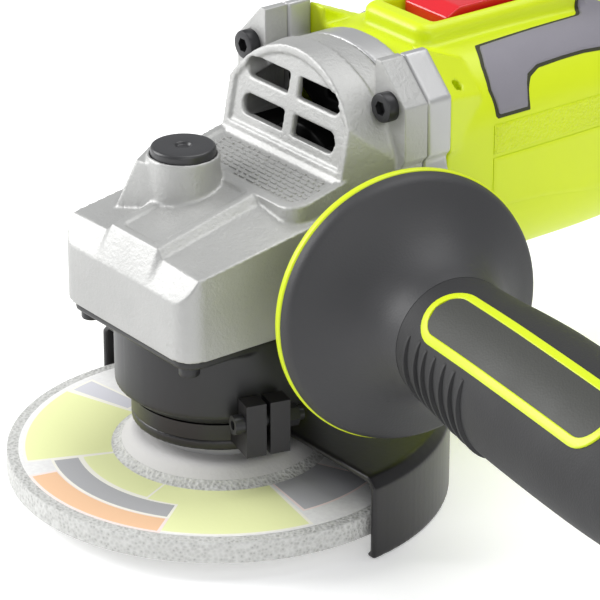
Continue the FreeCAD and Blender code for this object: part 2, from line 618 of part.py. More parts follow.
def head_section(y, shoulder, groove, strip):
    """A cross section of the head: flat sides, shoulders rising to the grooved strip."""
    half, low = S.head_half + 8, S.cover_top
    points = [(-half, low), (-half, shoulder), (-S.groove_half, groove), (-S.strip_half, strip),
              (S.strip_half, strip), (S.groove_half, groove), (half, shoulder), (half, low)]
    corners = [Vector(x, y, z) for x, z in points]
    return Part.makePolygon(corners + [corners[0]])


def dome_wire(half, low, straight, top, y, lean=0.0):
    """A D-shaped wire standing across the tool: flat base, straight sides, round top."""
    def at(x, z):
        return Vector(x, y + lean * (z - low), z)
    arc = Part.Arc(at(half, straight), at(0, top), at(-half, straight)).toShape()
    return Part.Wire([
        Part.makeLine(at(-half, low), at(half, low)), Part.makeLine(at(half, low), at(half, straight)),
        arc, Part.makeLine(at(-half, straight), at(-half, low))])


def flange_blank(front, back):
    """The head's rear flange: a round plate with four square ears, chamfered at the corners."""
    plate = Part.makeCylinder(S.flange_round, back - front, Vector(0, front, S.motor_axis + 1), BACK)
    plate = plate.fuse(block(-S.bell_half, S.bell_half, front, back, S.cover_top, S.bell_straight))
    inner, outer, chamfer = S.flange_half - S.ear_size, S.flange_half, S.ear_chamfer
    upper = [(inner, S.flange_top), (outer - chamfer, S.flange_top), (outer, S.flange_top - chamfer),
             (outer, S.ear_foot), (outer - 4, S.ear_foot - 5), (inner, S.ear_foot - 5)]
    lower = [(inner, S.flange_low), (outer - 6, S.flange_low), (outer, S.flange_low + 6),
             (outer, S.flange_low + 15), (outer - 4, S.flange_low + 19), (inner, S.flange_low + 19)]
    for side in (-1, 1):
        for corners in (upper, lower):
            corners = [Vector(side * x, front, z) for x, z in corners]
            plate = plate.fuse(prism(corners, Vector(0, back - front, 0)))
    return plate


def sloped_plate(half, front, back, rise, depth, corner):
    """A plate that lies along the head's sloped top, its front corners rounded."""
    bands = [Vector(-half, front, strip_height(front) + rise - depth),
             Vector(-half, front, strip_height(front) + rise),
             Vector(-half, back, strip_height(back) + rise),
             Vector(-half, back, strip_height(back) + rise - depth)]
    plate = prism(bands, Vector(2 * half, 0, 0))
    plan = block(-half, half, front, back, S.cover_top, S.flange_top)
    posts = [edge for edge in plan.Edges if all(abs(v.Point.y - front) < 0.01 for v in edge.Vertexes)
             and abs(edge.tangentAt(edge.FirstParameter).z) > 0.9]
    return plate.common(plan.makeFillet(corner, posts))


def screw_places():
    """Centres of the four flange screws, as (x, z)."""
    return [(side * S.screw_side, height) for side in (-1, 1) for height in (S.screw_high, S.screw_deep)]


def make_gear_case():
    """The cast head: nose over the gears, vent tower, rear flange, lock boss, handle sockets."""
    toe = S.strip_toe
    stations = [
        (-S.nose - 0.5, toe, toe, toe),
        (-S.brow, shoulder_height(-S.brow), strip_height(-S.brow) - S.groove_depth,
         strip_height(-S.brow)),
        (S.flange_front, shoulder_height(S.flange_front),
         strip_height(S.flange_front) - S.groove_depth, strip_height(S.flange_front))]
    top = Part.makeLoft([head_section(*station) for station in stations], True, True)
    plan = block(-S.head_half, S.head_half, -S.nose, S.flange_end, S.cover_top, S.flange_top)
    front = [edge for edge in plan.Edges
             if all(abs(v.Point.y + S.nose) < 0.01 for v in edge.Vertexes)
             and abs(edge.tangentAt(edge.FirstParameter).z) > 0.9]
    head = top.common(plan.makeFillet(S.nose_corner, front))
    head = head.fuse(sloped_plate(S.panel_half, S.panel_front, S.flange_front, 0, 14, 6.5))
    tower = Part.makeLoft([
        dome_wire(S.vent_half, S.cover_top + 20, S.vent_straight, S.vent_top,
                  S.vent_base - S.vent_lean * (S.vent_base_height - S.cover_top - 20), S.vent_lean),
        dome_wire(S.bell_half, S.cover_top + 20, S.bell_straight, S.bell_top, S.flange_front)],
        True, True)
    cheeks = Part.makeLoft([
        Part.makePolygon([Vector(x, y, z) for x, y, z in (
            (-S.head_half, S.panel_front, S.cover_top), (S.head_half, S.panel_front, S.cover_top),
            (S.head_half, S.panel_front, S.cover_top + 25), (-S.head_half, S.panel_front, S.cover_top + 25),
            (-S.head_half, S.panel_front, S.cover_top))]),
        Part.makePolygon([Vector(x, y, z) for x, y, z in (
            (-S.cheek_half, S.flange_front, S.cover_top), (S.cheek_half, S.flange_front, S.cover_top),
            (S.cheek_half, S.flange_front, S.cover_top + S.cheek_rise),
            (-S.cheek_half, S.flange_front, S.cover_top + S.cheek_rise),
            (-S.cheek_half, S.flange_front, S.cover_top))])], True, True)
    head = head.fuse([tower, cheeks, flange_blank(S.flange_front, S.flange_end)])
    # The panel, the strip and the vent plate each have a raised rim round a shallow field.
    field = sloped_plate(S.panel_half - S.rim_width, S.panel_front + S.rim_width, S.vent_base - 0.6,
                         2, 2 + S.rim_depth, 5.2)
    strip = sloped_plate(S.strip_half - S.rim_width * 0.9, -S.brow + 1.8, S.panel_front - 0.8, 2,
                         2 + S.rim_depth, 2.0)
    inner = S.vent_half - 2.4
    base = S.vent_base_height + 2.4
    face = S.vent_base + S.vent_lean * (base - S.vent_base_height)
    plate = Part.makeLoft([dome_wire(inner, base, S.vent_straight, S.vent_top - 2.4, face - 6, S.vent_lean),
                           dome_wire(inner, base, S.vent_straight, S.vent_top - 2.4, face + 0.9,
                                     S.vent_lean)], True, True)
    mark = block(S.mark_side, S.head_half - 1.5, -S.nose - 1, -S.nose + 0.8, S.mark_height,
                 S.mark_height + 1.0)
    head = head.cut([field, strip, plate, mark])
    # The lock boss: a round tower with a sloped wedge on its outer side.
    boss = Part.makeCone(S.boss_radius + 0.5, S.boss_radius, S.boss_top - S.cover_top - 20,
                         lock_point(S.cover_top + 20))
    wedge_turn = math.radians(S.wedge_angle)
    outward = Vector(math.cos(wedge_turn), math.sin(wedge_turn), 0)
    across = Vector(-math.sin(wedge_turn), math.cos(wedge_turn), 0)
    foot, crest = lock_point(S.strip_front - 6), lock_point(S.boss_top - 1.5)
    inner, outer, high = across * S.boss_radius, outward * S.wedge_low, outward * S.wedge_high
    low_ring = [foot + inner, foot + outer + across * S.wedge_radius,
                foot + outer - across * S.wedge_radius, foot - inner]
    top_ring = [crest + inner, crest + high + across * S.wedge_radius * 0.75,
                crest + high - across * S.wedge_radius * 0.75, crest - inner]
    wedge = Part.makeLoft([Part.makePolygon(low_ring + [low_ring[0]]),
                           Part.makePolygon(top_ring + [top_ring[0]])], True, True)
    lump = boss.fuse(wedge).common(block(-S.head_half, S.head_half, -S.nose + 2, S.nose,
                                         S.cover_top + 20, S.flange_top))
    head = head.fuse(lump)
    for side in (-1, 1):
        head = head.fuse(socket_boss(side))
    head = head.cut(gear_rooms())
    for side in (-1, 1):
        head = head.cut(socket_bore(side))
    for x, z in screw_places():
        head = head.cut(rod(S.screw_radius + 0.05, Vector(x, 0, z), Vector(x, 60, z)))
        rim = rod(S.screw_head + 0.5, Vector(x, 10, z), Vector(x, S.flange_front, z))
        head = head.cut(rim)
    for corner in screw_corners():
        tapped = Part.makeCylinder(S.cover_screw, S.cover_screw_top + 0.5 - S.cover_top,
                                   corner + Vector(0, 0, S.cover_top))
        head = head.cut(tapped)
    shaped("gear_case", solid_of(head))
    screws = []
    for x, z in screw_places():
        cap = rod(S.screw_head, Vector(x, S.flange_front - S.screw_head_height, z),
                  Vector(x, S.flange_front, z))
        cap = cap.cut(rod(S.screw_head * 0.45, Vector(x, S.flange_front - S.screw_head_height, z),
                          Vector(x, S.flange_front - 1.2, z)))
        shank = rod(S.screw_radius, Vector(x, S.flange_front, z),
                    Vector(x, S.flange_front + S.screw_length, z))
        screws.append(cap.fuse(shank).removeSplitter())
    shaped("gear_case_screws", Part.makeCompound(screws))


def socket_frame(side):
    """The frame of a side-handle socket: +X carries the handle, -X is the spare one."""
    if side > 0:
        return ON_HANDLE
    return Placement(Vector(-S.spare_side, S.spare_back, S.spare_height), Rotation(UP, -SIDE))


def socket_boss(side):
    """Round boss about a handle socket."""
    boss = Part.makeCylinder(S.socket_boss, S.boss_length, Vector(0, 0, -S.boss_length))
    boss.Placement = socket_frame(side)
    return boss


def socket_bore(side):
    """The socket itself."""
    depth = S.socket_depth if side > 0 else S.spare_depth
    bore = Part.makeCylinder(S.socket_radius, depth + 3, Vector(0, 0, -depth))
    bore.Placement = socket_frame(side)
    return bore


def gear_rooms():
    """Everything hollow inside the head."""
    axis = S.motor_axis
    room = turned_solid([(0, S.cover_top - 1), (S.gear_room, S.cover_top - 1), (S.gear_room, S.room_rim),
                         (S.room_inner, S.room_top), (0, S.room_top)])
    bush = Part.makeCylinder(S.bush_outer, S.bush_top - S.bush_low + 1, Vector(0, 0, S.bush_low - 1))
    nose = Part.makeCylinder(5.2, 6, Vector(0, 9.6, axis), BACK)
    cone = Part.makeCone(6.4, 8.3, 8, Vector(0, 14.0, axis), BACK)
    hub = Part.makeCylinder(8.3, 12, Vector(0, 21.5, axis), BACK)
    throat = Part.makeCylinder(S.throat_radius, 30, Vector(0, S.seat_front - 1, axis), BACK)
    well = Part.makeCylinder(S.well_radius, 40, lock_point(S.well_low))
    mouth = Part.makeCylinder(S.button_radius + S.button_gap, 40,
                              lock_point(S.button_low - S.lock_travel - S.well_spare))
    pin = Part.makeCylinder(S.pin_radius + S.pin_gap, 30, lock_point(S.pin_low - 4))
    rooms = room.fuse([bush, nose, cone, hub, throat, well, mouth, pin])
    # The upper chamber leads the fan's air to the four slots of the vent plate.
    chamber = Part.makeLoft([
        dome_wire(S.chamber_half - 2, S.chamber_low, S.vent_straight, S.chamber_top - 2,
                  S.vent_base + S.vent_lean * (S.chamber_low - S.vent_base_height) + S.vent_wall,
                  S.vent_lean),
        dome_wire(S.chamber_half + 3, S.chamber_low, S.vent_straight, S.chamber_top,
                  S.flange_end + 1)], True, True)
    rooms = rooms.fuse(chamber)
    for side in (-1, 1):
        for height in (S.slot_high, S.slot_deep):
            x0, x1 = sorted((side * S.slot_inner, side * (S.slot_outer - S.slot_half)))
            slot = block(x0, x1, 10, 34, height - S.slot_half, height + S.slot_half)
            end = rod(S.slot_half, Vector(side * (S.slot_outer - S.slot_half), 10, height),
                      Vector(side * (S.slot_outer - S.slot_half), 34, height))
            rooms = rooms.fuse([slot, end])
    return rooms


# ------------------------------------------------------------------ bracket, armature, stator
def make_bracket():
    """The silver bearing bracket between the head and the housing, with air windows."""
    axis = Vector(0, 0, S.motor_axis)
    ribs = turned_solid([
        (S.front_bearing_radius, S.front_bearing), (S.front_bearing_radius, S.bracket_web),
        (S.window_outer + 2, S.bracket_web), (S.bracket_rim, S.bracket_back),
        (S.bracket_outer, S.bracket_back), (S.bracket_outer, S.flange_end + 0.2),
        (S.seat_outer, S.flange_end + 0.2), (S.seat_outer, S.seat_front),
        (S.shaft_radius + 2, S.seat_front), (S.shaft_radius + 2, S.front_bearing)])
    for i in range(int(S.bracket_windows)):
        window = block(S.window_inner, S.window_outer, -S.window_half, S.window_half,
                       S.flange_end - 1, S.bracket_back)
        ribs = ribs.cut(window.rotated(Vector(), UP, 30 + 360 * i / S.bracket_windows))
    ribs.Placement = Placement(axis, Rotation(SIDE, -90))
    ears = flange_blank(S.flange_end + 0.2, S.bracket_back).cut(
        rod(S.bracket_rim, Vector(0, 0, S.motor_axis), Vector(0, 90, S.motor_axis)))
    ribs = ribs.fuse(ears)
    for x, z in screw_places():
        ribs = ribs.cut(rod(S.screw_radius, Vector(x, 0, z), Vector(x, 90, z)))
    inner = rod(S.window_outer, Vector(0, S.bracket_web, S.motor_axis),
                Vector(0, S.bracket_back + 1, S.motor_axis))
    shaped("bearing_bracket", solid_of(ribs.cut(inner)))


def make_armature():
    """Shaft, laminated core, windings, commutator, fan and the bearings' inner rings."""
    turned("armature_shaft", ON_MOTOR, [
        ("0", "shaft_front"), ("shaft_nose", "shaft_front"), ("shaft_nose", "pinion_back"),
        ("shaft_radius", "pinion_back"), ("shaft_radius", "shaft_step"),
        ("shaft_tail", "shaft_step"), ("shaft_tail", "shaft_back"), ("0", "shaft_back")])
    for end, bore, outer, low, high in (
            ("front", "shaft_radius", "front_bearing_radius", "front_bearing",
             "front_bearing_back"),
            ("rear", "shaft_tail", "rear_bearing_radius", "rear_bearing", "rear_bearing_back")):
        middle = f"({bore} + {outer}) / 2"
        ring(f"{end}_bearing_inner", ON_MOTOR, bore, f"{middle} - bearing_gap", low, high)
        ring(f"{end}_bearing_outer", ON_MOTOR, f"{middle} + bearing_gap", outer, low, high)
    turned("rear_bearing_sleeve", ON_MOTOR, [
        ("rear_bearing_radius", "rear_bearing"),
        ("rear_bearing_radius + sleeve_wall", "rear_bearing"),
        ("rear_bearing_radius + sleeve_wall", "rear_bearing_back"),
        ("rear_bearing_radius", "rear_bearing_back")])
    core = Part.makeCylinder(S.core_outer, S.core_back - S.core_front, Vector(0, 0, S.core_front))
    core = core.cut(Part.makeCylinder(S.shaft_radius, 200))
    bars = Part.makeCylinder(S.commutator_radius, S.commutator_back - S.commutator_front,
                             Vector(0, 0, S.commutator_front)).cut(Part.makeCylinder(S.shaft_radius, 200))
    slot = block(S.core_slot_floor, S.core_outer + 1, -S.core_slot_half, S.core_slot_half,
                 S.core_front - 1, S.core_back + 1)
    gap = block(S.commutator_radius - S.bar_gap_depth, S.commutator_radius + 1, -S.bar_gap / 2,
                S.bar_gap / 2, S.commutator_front - 1, S.commutator_back + 1)
    core = core.cut([slot.rotated(Vector(), UP, 360 * i / S.core_slots)
                     for i in range(int(S.core_slots))])
    bars = bars.cut([gap.rotated(Vector(), UP, 360 * i / S.bars) for i in range(int(S.bars))])
    shaped("armature_core", solid_of(core), ON_MOTOR)
    shaped("commutator", solid_of(bars), ON_MOTOR)
    ends = []
    for low, high in ((S.winding_front, S.core_front), (S.core_back, S.winding_back)):
        lump = turned_solid([(S.shaft_radius, low), (S.winding_radius - 3, low),
                             (S.winding_radius, (low + high) / 2), (S.winding_radius, high),
                             (S.shaft_radius, high)])
        ends.append(lump)
    wires = []
    for i in range(int(S.core_slots)):
        wire = block(S.core_slot_floor + 0.2, S.winding_radius + 0.4, -S.core_slot_half + 0.15,
                     S.core_slot_half - 0.15, S.core_front - 1, S.core_back + 1)
        wires.append(wire.rotated(Vector(), UP, 360 * i / S.core_slots))
    shaped("armature_windings", solid_of(ends[0].fuse(wires + [ends[1]])), ON_MOTOR)
    fan = turned_solid([(S.shaft_radius, S.fan_front), (S.fan_hub, S.fan_front),
                        (S.fan_hub, S.fan_plate), (S.fan_radius, S.fan_plate),
                        (S.fan_radius, S.fan_end), (S.shaft_radius, S.fan_end)])
    blade = block(S.fan_hub - 1, S.fan_radius - 0.3, -S.blade_thickness / 2, S.blade_thickness / 2,
                  S.fan_front, S.fan_plate + 0.5)
    fan = fan.fuse([blade.rotated(Vector(), UP, 360 * i / S.fan_blades)
                    for i in range(int(S.fan_blades))])
    shaped("fan", solid_of(fan), ON_MOTOR)
    ring("fan_baffle", ON_MOTOR, "baffle_inner", "baffle_outer", "baffle_front", "baffle_back")


def make_stator():
    """Field core with two pole shoes, and the two field coils beside the armature."""
    length = S.core_back - S.core_front
    core = Part.makeCylinder(S.stator_radius, length, Vector(0, 0, S.core_front))
    flat = block(-40, 40, -S.stator_flat, S.stator_flat, S.core_front, S.core_back)
    core = core.common(flat).cut(Part.makeCylinder(S.stator_bore, 200))
    gaps = []
    for side in (-1, 1):
        x0, x1 = sorted((side * (S.stator_bore - 4), side * S.stator_window))
        gaps.append(block(x0, x1, -11, 11, S.core_front - 1, S.core_back + 1))
    shaped("stator_core", solid_of(core.cut(gaps)), ON_MOTOR)
    coils = []
    for side in (-1, 1):
        band = Part.makeCylinder(S.coil_outer, S.coil_back - S.coil_front, Vector(0, 0, S.coil_front))
        band = band.cut(Part.makeCylinder(S.coil_inner, 200))
        near, far = sorted((side * 4, side * 40))
        half = band.common(block(-S.coil_half, S.coil_half, near, far, S.coil_front, S.coil_back))
        keep_out = block(-40, 40, -40, 40, S.core_front - 0.2, S.core_back + 0.2)
        coils += half.cut(keep_out).Solids
    shaped("field_coils", Part.makeCompound(coils), ON_MOTOR)


def make_brushes():
    """Carbon brushes, their holders and springs, one set on each side of the commutator."""
    axis = S.motor_axis
    brushes, holders, springs = [], [], []
    y0, y1 = S.brush_back, S.brush_back + S.brush_length
    z0, z1 = axis - S.brush_high / 2, axis + S.brush_high / 2
    wall = S.holder_wall
    for side in (-1, 1):
        x0, x1 = sorted((side * (S.commutator_radius + S.brush_gap), side * S.brush_reach))
        brushes.append(block(x0, x1, y0, y1, z0, z1))
        x0, x1 = sorted((side * S.holder_inner, side * S.holder_reach))
        shell = block(x0, x1, y0 - wall - 0.1, y1 + wall + 0.1, z0 - wall - 0.1, z1 + wall + 0.1)
        x0, x1 = sorted((side * (S.holder_inner - 1), side * (S.holder_reach - wall)))
        holders.append(shell.cut(block(x0, x1, y0 - 0.1, y1 + 0.1, z0 - 0.1, z1 + 0.1)))
        start = Vector(side * S.brush_reach, (y0 + y1) / 2, axis)
        end = Vector(side * (S.holder_reach - wall), (y0 + y1) / 2, axis)
        springs.append(rod(S.brush_spring_radius, start, end).cut(
            rod(S.brush_spring_radius - 0.6, start, end)))
    shaped("carbon_brushes", Part.makeCompound(brushes))
    shaped("brush_holders", Part.makeCompound(holders))
    shaped("brush_springs", Part.makeCompound(springs))


# ------------------------------------------------------------------ housing, tail and switch
def housing_stations():
    """(y, half width, half height, centre height) along the motor housing."""
    return [(S.housing_front, S.front_half, S.front_rise, S.front_axis),
            (S.housing_mid, S.mid_half, S.mid_rise, S.mid_axis),
            (S.housing_taper, S.taper_half, S.taper_rise, S.taper_axis),
            (S.housing_back, S.back_half, S.back_rise, S.tail_axis)]


def tail_stations():
    """(y, half width, half height, centre height) along the rear cover."""
    return [(S.housing_back, S.back_half, S.back_rise, S.tail_axis),
            (S.tail_neck, S.neck_half, S.neck_rise, S.tail_axis),
            (S.tail_waist, S.waist_half, S.waist_rise, S.tail_axis),
            (S.tail_flare, S.flare_half, S.flare_rise, S.tail_axis),
            (S.tail_end, S.end_half, S.end_rise, S.tail_axis)]


def make_housing():
    """The one-piece motor housing with the slide switch's pocket in its top."""
    outer = tube_loft(housing_stations(), 0, S.corner_share)
    inner = tube_loft(housing_stations(), S.wall, S.corner_share)
    lip = prism([Vector(-S.lip_half, S.lip_front, 0), Vector(S.lip_half, S.lip_front, 0),
                 Vector(S.lip_half, S.lip_back, 0), Vector(-S.lip_half, S.lip_back, 0)],
                Vector(0, 0, S.pocket_lip - S.pocket_floor + 2.4))
    lip.translate(Vector(0, 0, S.pocket_floor - 2.4))
    uprights = [edge for edge in lip.Edges if abs(edge.tangentAt(edge.FirstParameter).z) > 0.9]
    lip = lip.makeFillet(5.0, uprights)
    top = [edge for edge in lip.Edges if all(abs(v.Point.z - S.pocket_lip) < 0.01 for v in edge.Vertexes)]
    lip = lip.makeChamfer(1.6, top)
    pocket = block(-S.pocket_half, S.pocket_half, S.pocket_front, S.pocket_back, S.pocket_floor, 140)
    slot = block(-S.stem_half - 0.5, S.stem_half + 0.5, S.stem_front - S.switch_travel - 1,
                 S.stem_back + 1, 90, 140)
    # A wall across the back carries the rear bearing's rubber sleeve.
    back_wall = tube_loft([(S.housing_back - 2, S.back_half - 1, S.back_rise - 1, S.tail_axis),
                           (S.housing_back, S.back_half - 1, S.back_rise - 1, S.tail_axis)], 0,
                          S.corner_share)
    seat = rod(S.rear_bearing_radius + S.sleeve_wall + 2.4, Vector(0, S.housing_back - 2, S.motor_axis),
               Vector(0, S.rear_bearing_back + 1.5, S.motor_axis))
    seat_bore = rod(S.rear_bearing_radius + S.sleeve_wall, Vector(0, S.rear_bearing, S.motor_axis),
                    Vector(0, S.rear_bearing_back + 3, S.motor_axis))
    passage = rod(S.commutator_radius + 1.0, Vector(0, S.housing_back - 10, S.motor_axis),
                  Vector(0, S.rear_bearing_back + 3, S.motor_axis))
    rod_way = block(-S.rod_radius - 0.5, S.rod_radius + 0.5, S.housing_back - 4, S.housing_back + 1.5,
                    S.rod_low - 2, S.rod_height + 2.2)
    wire_ways = [rod(4.0, Vector(x, S.housing_back - 10, 66), Vector(x, S.housing_back + 5, 66))
                 for x in (-17, 17)]
    shell = outer.cut(inner).fuse([back_wall, seat]).fuse(lip)
    # Two rails inside grip the field core.
    rails = []
    for side in (-1, 1):
        x0, x1 = sorted((side * (S.stator_radius + 0.02), side * (S.mid_half - 1)))
        rails.append(block(x0, x1, S.core_front, S.core_back, S.motor_axis - 5, S.motor_axis + 5))
    shell = shell.fuse(rails)
    shell = shell.cut([pocket, slot, seat_bore, passage, rod_way] + wire_ways)
    bulges = []
    for x, z in screw_places():
        side, rise = math.copysign(1, x), math.copysign(1, z - S.motor_axis)
        tip = S.flange_top - 1.2 if rise > 0 else S.flange_low + 1.2
        edge, reach = S.flange_half - 1.0, S.ear_chamfer if rise > 0 else 6.0
        near = S.motor_axis + rise * 14
        front = [(side * edge, near), (side * edge, tip - rise * reach), (side * (edge - reach), tip),
                 (side * 20, tip), (side * 20, near)]
        back = [(side * (edge - 4), near), (side * (edge - 4), tip - rise * (reach + 3)),
                (side * (edge - reach - 3), tip - rise * 6), (side * 20, tip - rise * 7), (side * 20, near)]
        wires = []
        for y, ring_points in ((S.housing_front, front), (S.housing_front + 15, back)):
            corners = [Vector(px, y, pz) for px, pz in ring_points]
            wires.append(Part.makePolygon(corners + [corners[0]]))
        bulges.append(Part.makeLoft(wires, True, True))
    hollow = rod(S.front_half - S.wall, Vector(0, 0, S.motor_axis), Vector(0, 200, S.motor_axis))
    shell = shell.fuse([bulge.cut(hollow) for bulge in bulges])
    for x, z in screw_places():
        shell = shell.cut(rod(S.screw_radius, Vector(x, S.housing_front - 1, z),
                              Vector(x, S.flange_front + S.screw_length + 1, z)))
    shaped("motor_housing", solid_of(shell))
    grips = []
    skin = tube_loft(housing_stations(), -S.grip_proud, S.corner_share).cut(
        tube_loft(housing_stations(), 0.0, S.corner_share))
    for side in (-1, 1):
        x0, x1 = sorted((side * S.grip_in, side * 50))
        grips += skin.common(block(x0, x1, S.grip_front, S.grip_back, S.grip_low, S.grip_high)).Solids
    shaped("side_grips", Part.makeCompound(grips))


def make_tail():
    """The rear cover's two halves, the screws that close them, and the cord's inlet."""
    outer = tube_loft(tail_stations(), 0, S.corner_share)
    hollow = tail_stations()
    hollow[-1] = (S.tail_end - S.wall,) + hollow[-1][1:]
    hollow[0] = (S.housing_back - 1,) + hollow[0][1:]
    inner = tube_loft(hollow, S.wall, S.corner_share)
    shell = outer.cut(inner)
    posts = [(S.tail_neck + 8, S.tail_axis - 15), (S.tail_waist + 8, S.tail_axis - 16),
             (S.tail_waist + 8, S.tail_axis + 16)]
    gland = rod(S.inlet_radius, Vector(0, S.tail_end - 12, S.tail_axis),
                Vector(0, S.tail_end + 5, S.tail_axis))
    cuts = [gland]
    for i in range(int(S.tail_slots)):
        y = S.tail_slot_front + S.tail_slot_pitch * i
        cuts.append(block(-50, 50, y - S.tail_slot_half, y + S.tail_slot_half,
                          S.tail_axis - S.tail_slot_rise, S.tail_axis + S.tail_slot_rise))
    for side, name in ((1, "rear_cover_left"), (-1, "rear_cover_right")):
        x0, x1 = sorted((side * S.seam, side * 60))
        half = shell.common(block(x0, x1, 100, 300, 0, 200))
        towers = []
        for y, z in posts:
            tower = rod(3.8, Vector(side * S.seam, y, z), Vector(side * 22, y, z)).common(outer)
            towers.append(tower)
        half = half.fuse(towers).cut(cuts)
        for y, z in posts:
            half = half.cut(rod(S.tail_screw_radius, Vector(-12, y, z), Vector(40, y, z)))
            if side > 0:
                half = half.cut(rod(S.tail_screw_head + 0.1, Vector(16, y, z), Vector(40, y, z)))
        shaped(name, solid_of(half))
    screws = []
    for y, z in posts:
        head = rod(S.tail_screw_head, Vector(16, y, z), Vector(18.4, y, z))
        head = head.cut(rod(S.tail_screw_head * 0.4, Vector(17.4, y, z), Vector(19, y, z)))
        screws.append(head.fuse(rod(S.tail_screw_radius, Vector(-11, y, z), Vector(16, y, z))))
    shaped("rear_cover_screws", Part.makeCompound([screw.removeSplitter() for screw in screws]))
    inlet = Placement(Vector(0, 0, S.tail_axis), Rotation(SIDE, -90))
    turned("cord_inlet", inlet, [
        ("inlet_bore", "inlet_front"), ("inlet_radius + 2", "inlet_front"),
        ("inlet_radius + 2", "tail_end - 3"), ("inlet_radius - 0.05", "tail_end - 3"),
        ("inlet_radius - 0.05", "tail_end"), ("inlet_radius + 1.6", "tail_end"),
        ("inlet_radius + 1.6", "tail_end + 3"), ("inlet_groove", "inlet_back"),
        ("inlet_bore", "inlet_back")])


def make_switch():
    """The red slider, the rod that it pushes, and the switch block in the tail."""
    top = prism([Vector(0, S.slider_front, S.slider_low), Vector(0, S.slider_front, S.slider_top - 2.4),
                 Vector(0, S.slider_front + 5, S.slider_top), Vector(0, S.slider_back - 9, S.slider_top),
                 Vector(0, S.slider_back - 5, S.slider_rib), Vector(0, S.slider_back, S.slider_rib),
                 Vector(0, S.slider_back, S.slider_low)], Vector(2 * S.slider_half, 0, 0))
    top.translate(Vector(-S.slider_half, 0, 0))
    stem = block(-S.stem_half, S.stem_half, S.stem_front, S.stem_back, S.rod_height - 1.7, S.slider_low)
    way = rod(S.rod_radius, Vector(0, S.stem_front - 1, S.rod_height), Vector(0, S.stem_back + 1, S.rod_height))
    shaped("switch_slider", solid_of(top.fuse(stem).cut(way)))
    route = [Vector(0, S.stem_front, S.rod_height), Vector(0, S.rod_bend, S.rod_height),
             Vector(0, S.rod_bend + 12, S.rod_low), Vector(0, S.rod_back, S.rod_low)]
    bar = rod(S.rod_radius, route[0], route[1])
    for start, end in zip(route[1:], route[2:]):
        bar = bar.fuse([rod(S.rod_radius, start, end), Part.makeSphere(S.rod_radius, start)])
    drop = block(-S.rod_radius, S.rod_radius, S.rod_back - 3, S.rod_back, S.tail_axis + 6, S.rod_low)
    shaped("switch_rod", solid_of(bar.fuse(drop)))
    block_shape = block(-S.block_half, S.block_half, S.block_front, S.block_back, S.block_low, S.block_high)
    knob = block(-3, 3, S.block_front - 1.0, S.block_front, S.tail_axis + 4, S.tail_axis + 10)
    shaped("switch_block", solid_of(block_shape.fuse(knob)))


# ------------------------------------------------------------------ wheel guard
def make_guard():
    """Half-round wheel guard on its collar, and the band that clamps it."""
    far = S.guard_radius + 10
    profile = turned_solid([
        (S.collar_inner, S.collar_low), (S.bead_radius, S.collar_low),
        (S.bead_radius, S.guard_top - S.guard_plate), (S.guard_radius - S.guard_bend, S.guard_top - S.guard_plate),
        (S.guard_radius - S.guard_wall, S.guard_top - S.guard_bend), (S.guard_radius - S.guard_wall, S.guard_low + S.lip_height),
        (S.lip_inner, S.guard_low + S.lip_height * 0.6), (S.lip_inner, S.guard_low),
        (S.guard_radius, S.guard_low), (S.guard_radius, S.guard_top - S.guard_bend),
        (S.guard_radius - S.guard_bend, S.guard_top), (S.collar_outer, S.guard_top),
        (S.collar_outer, S.collar_top), (S.collar_inner, S.collar_top)])
    away = block(-far, far, -far, S.guard_edge, S.guard_low - 1, S.collar_top + 1)
    away = away.cut(Part.makeCylinder(S.bead_radius, 60, Vector(0, 0, -20)))
    shaped("wheel_guard", solid_of(profile.cut(away)))
    band = turned_solid([(S.collar_outer, S.band_low), (S.band_outer, S.band_low),
                         (S.band_outer, S.collar_top), (S.collar_outer, S.collar_top)])
    lug = block(S.collar_outer + 0.4, S.lug_outer, -S.lug_half, S.lug_half, S.band_low, S.collar_top)
    horn = block(S.lug_inner, S.lug_outer, -S.lug_half, S.lug_half, S.band_low, S.lug_top)
    round_place = Placement(Vector(), Rotation(UP, S.lug_turn))
    slit = block(0, S.lug_outer + 1, -S.lug_gap, S.lug_gap, S.band_low - 1, S.lug_top + 1)
    keep_clear = Part.makeCylinder(S.collar_outer, 60)
    middle = (S.lug_inner + S.lug_outer) / 2
    hole = rod(S.clamp_screw_radius + 0.1, Vector(middle, -20, S.clamp_height),
               Vector(middle, 20, S.clamp_height))
    band = band.fuse([lug.cut(keep_clear), horn]).cut([slit, hole])
    shaped("guard_clamp_band", solid_of(band), round_place)
    head = rod(S.clamp_head, Vector(middle, -S.lug_half - 3, S.clamp_height),
               Vector(middle, -S.lug_half, S.clamp_height))
    socket = rod(S.clamp_head * 0.5, Vector(middle, -S.lug_half - 3, S.clamp_height),
                 Vector(middle, -S.lug_half - 1, S.clamp_height))
    shank = rod(S.clamp_screw_radius, Vector(middle, -S.lug_half, S.clamp_height),
                Vector(middle, S.lug_half + 5, S.clamp_height))
    shaped("clamp_screw", solid_of(head.cut(socket).fuse(shank)), round_place)
    nut = doc.addObject("Part::Prism", "clamp_nut_hex")
    nut.Polygon = 6
    nut.setExpression("Circumradius", linked("clamp_nut_radius"))
    nut.Height = 3.2
    seat = Placement(Vector(middle, S.lug_half, S.clamp_height), Rotation(SIDE, -90))
    nut.Placement = round_place.multiply(seat)
    hole = cylinder("clamp_nut_thread", "clamp_screw_radius", "lug_half",
                    round_place.multiply(Placement(Vector(0, -1, 0), Rotation()).multiply(seat)))
    keep(minus("clamp_nut_cut", nut, hole), "clamp_nut")


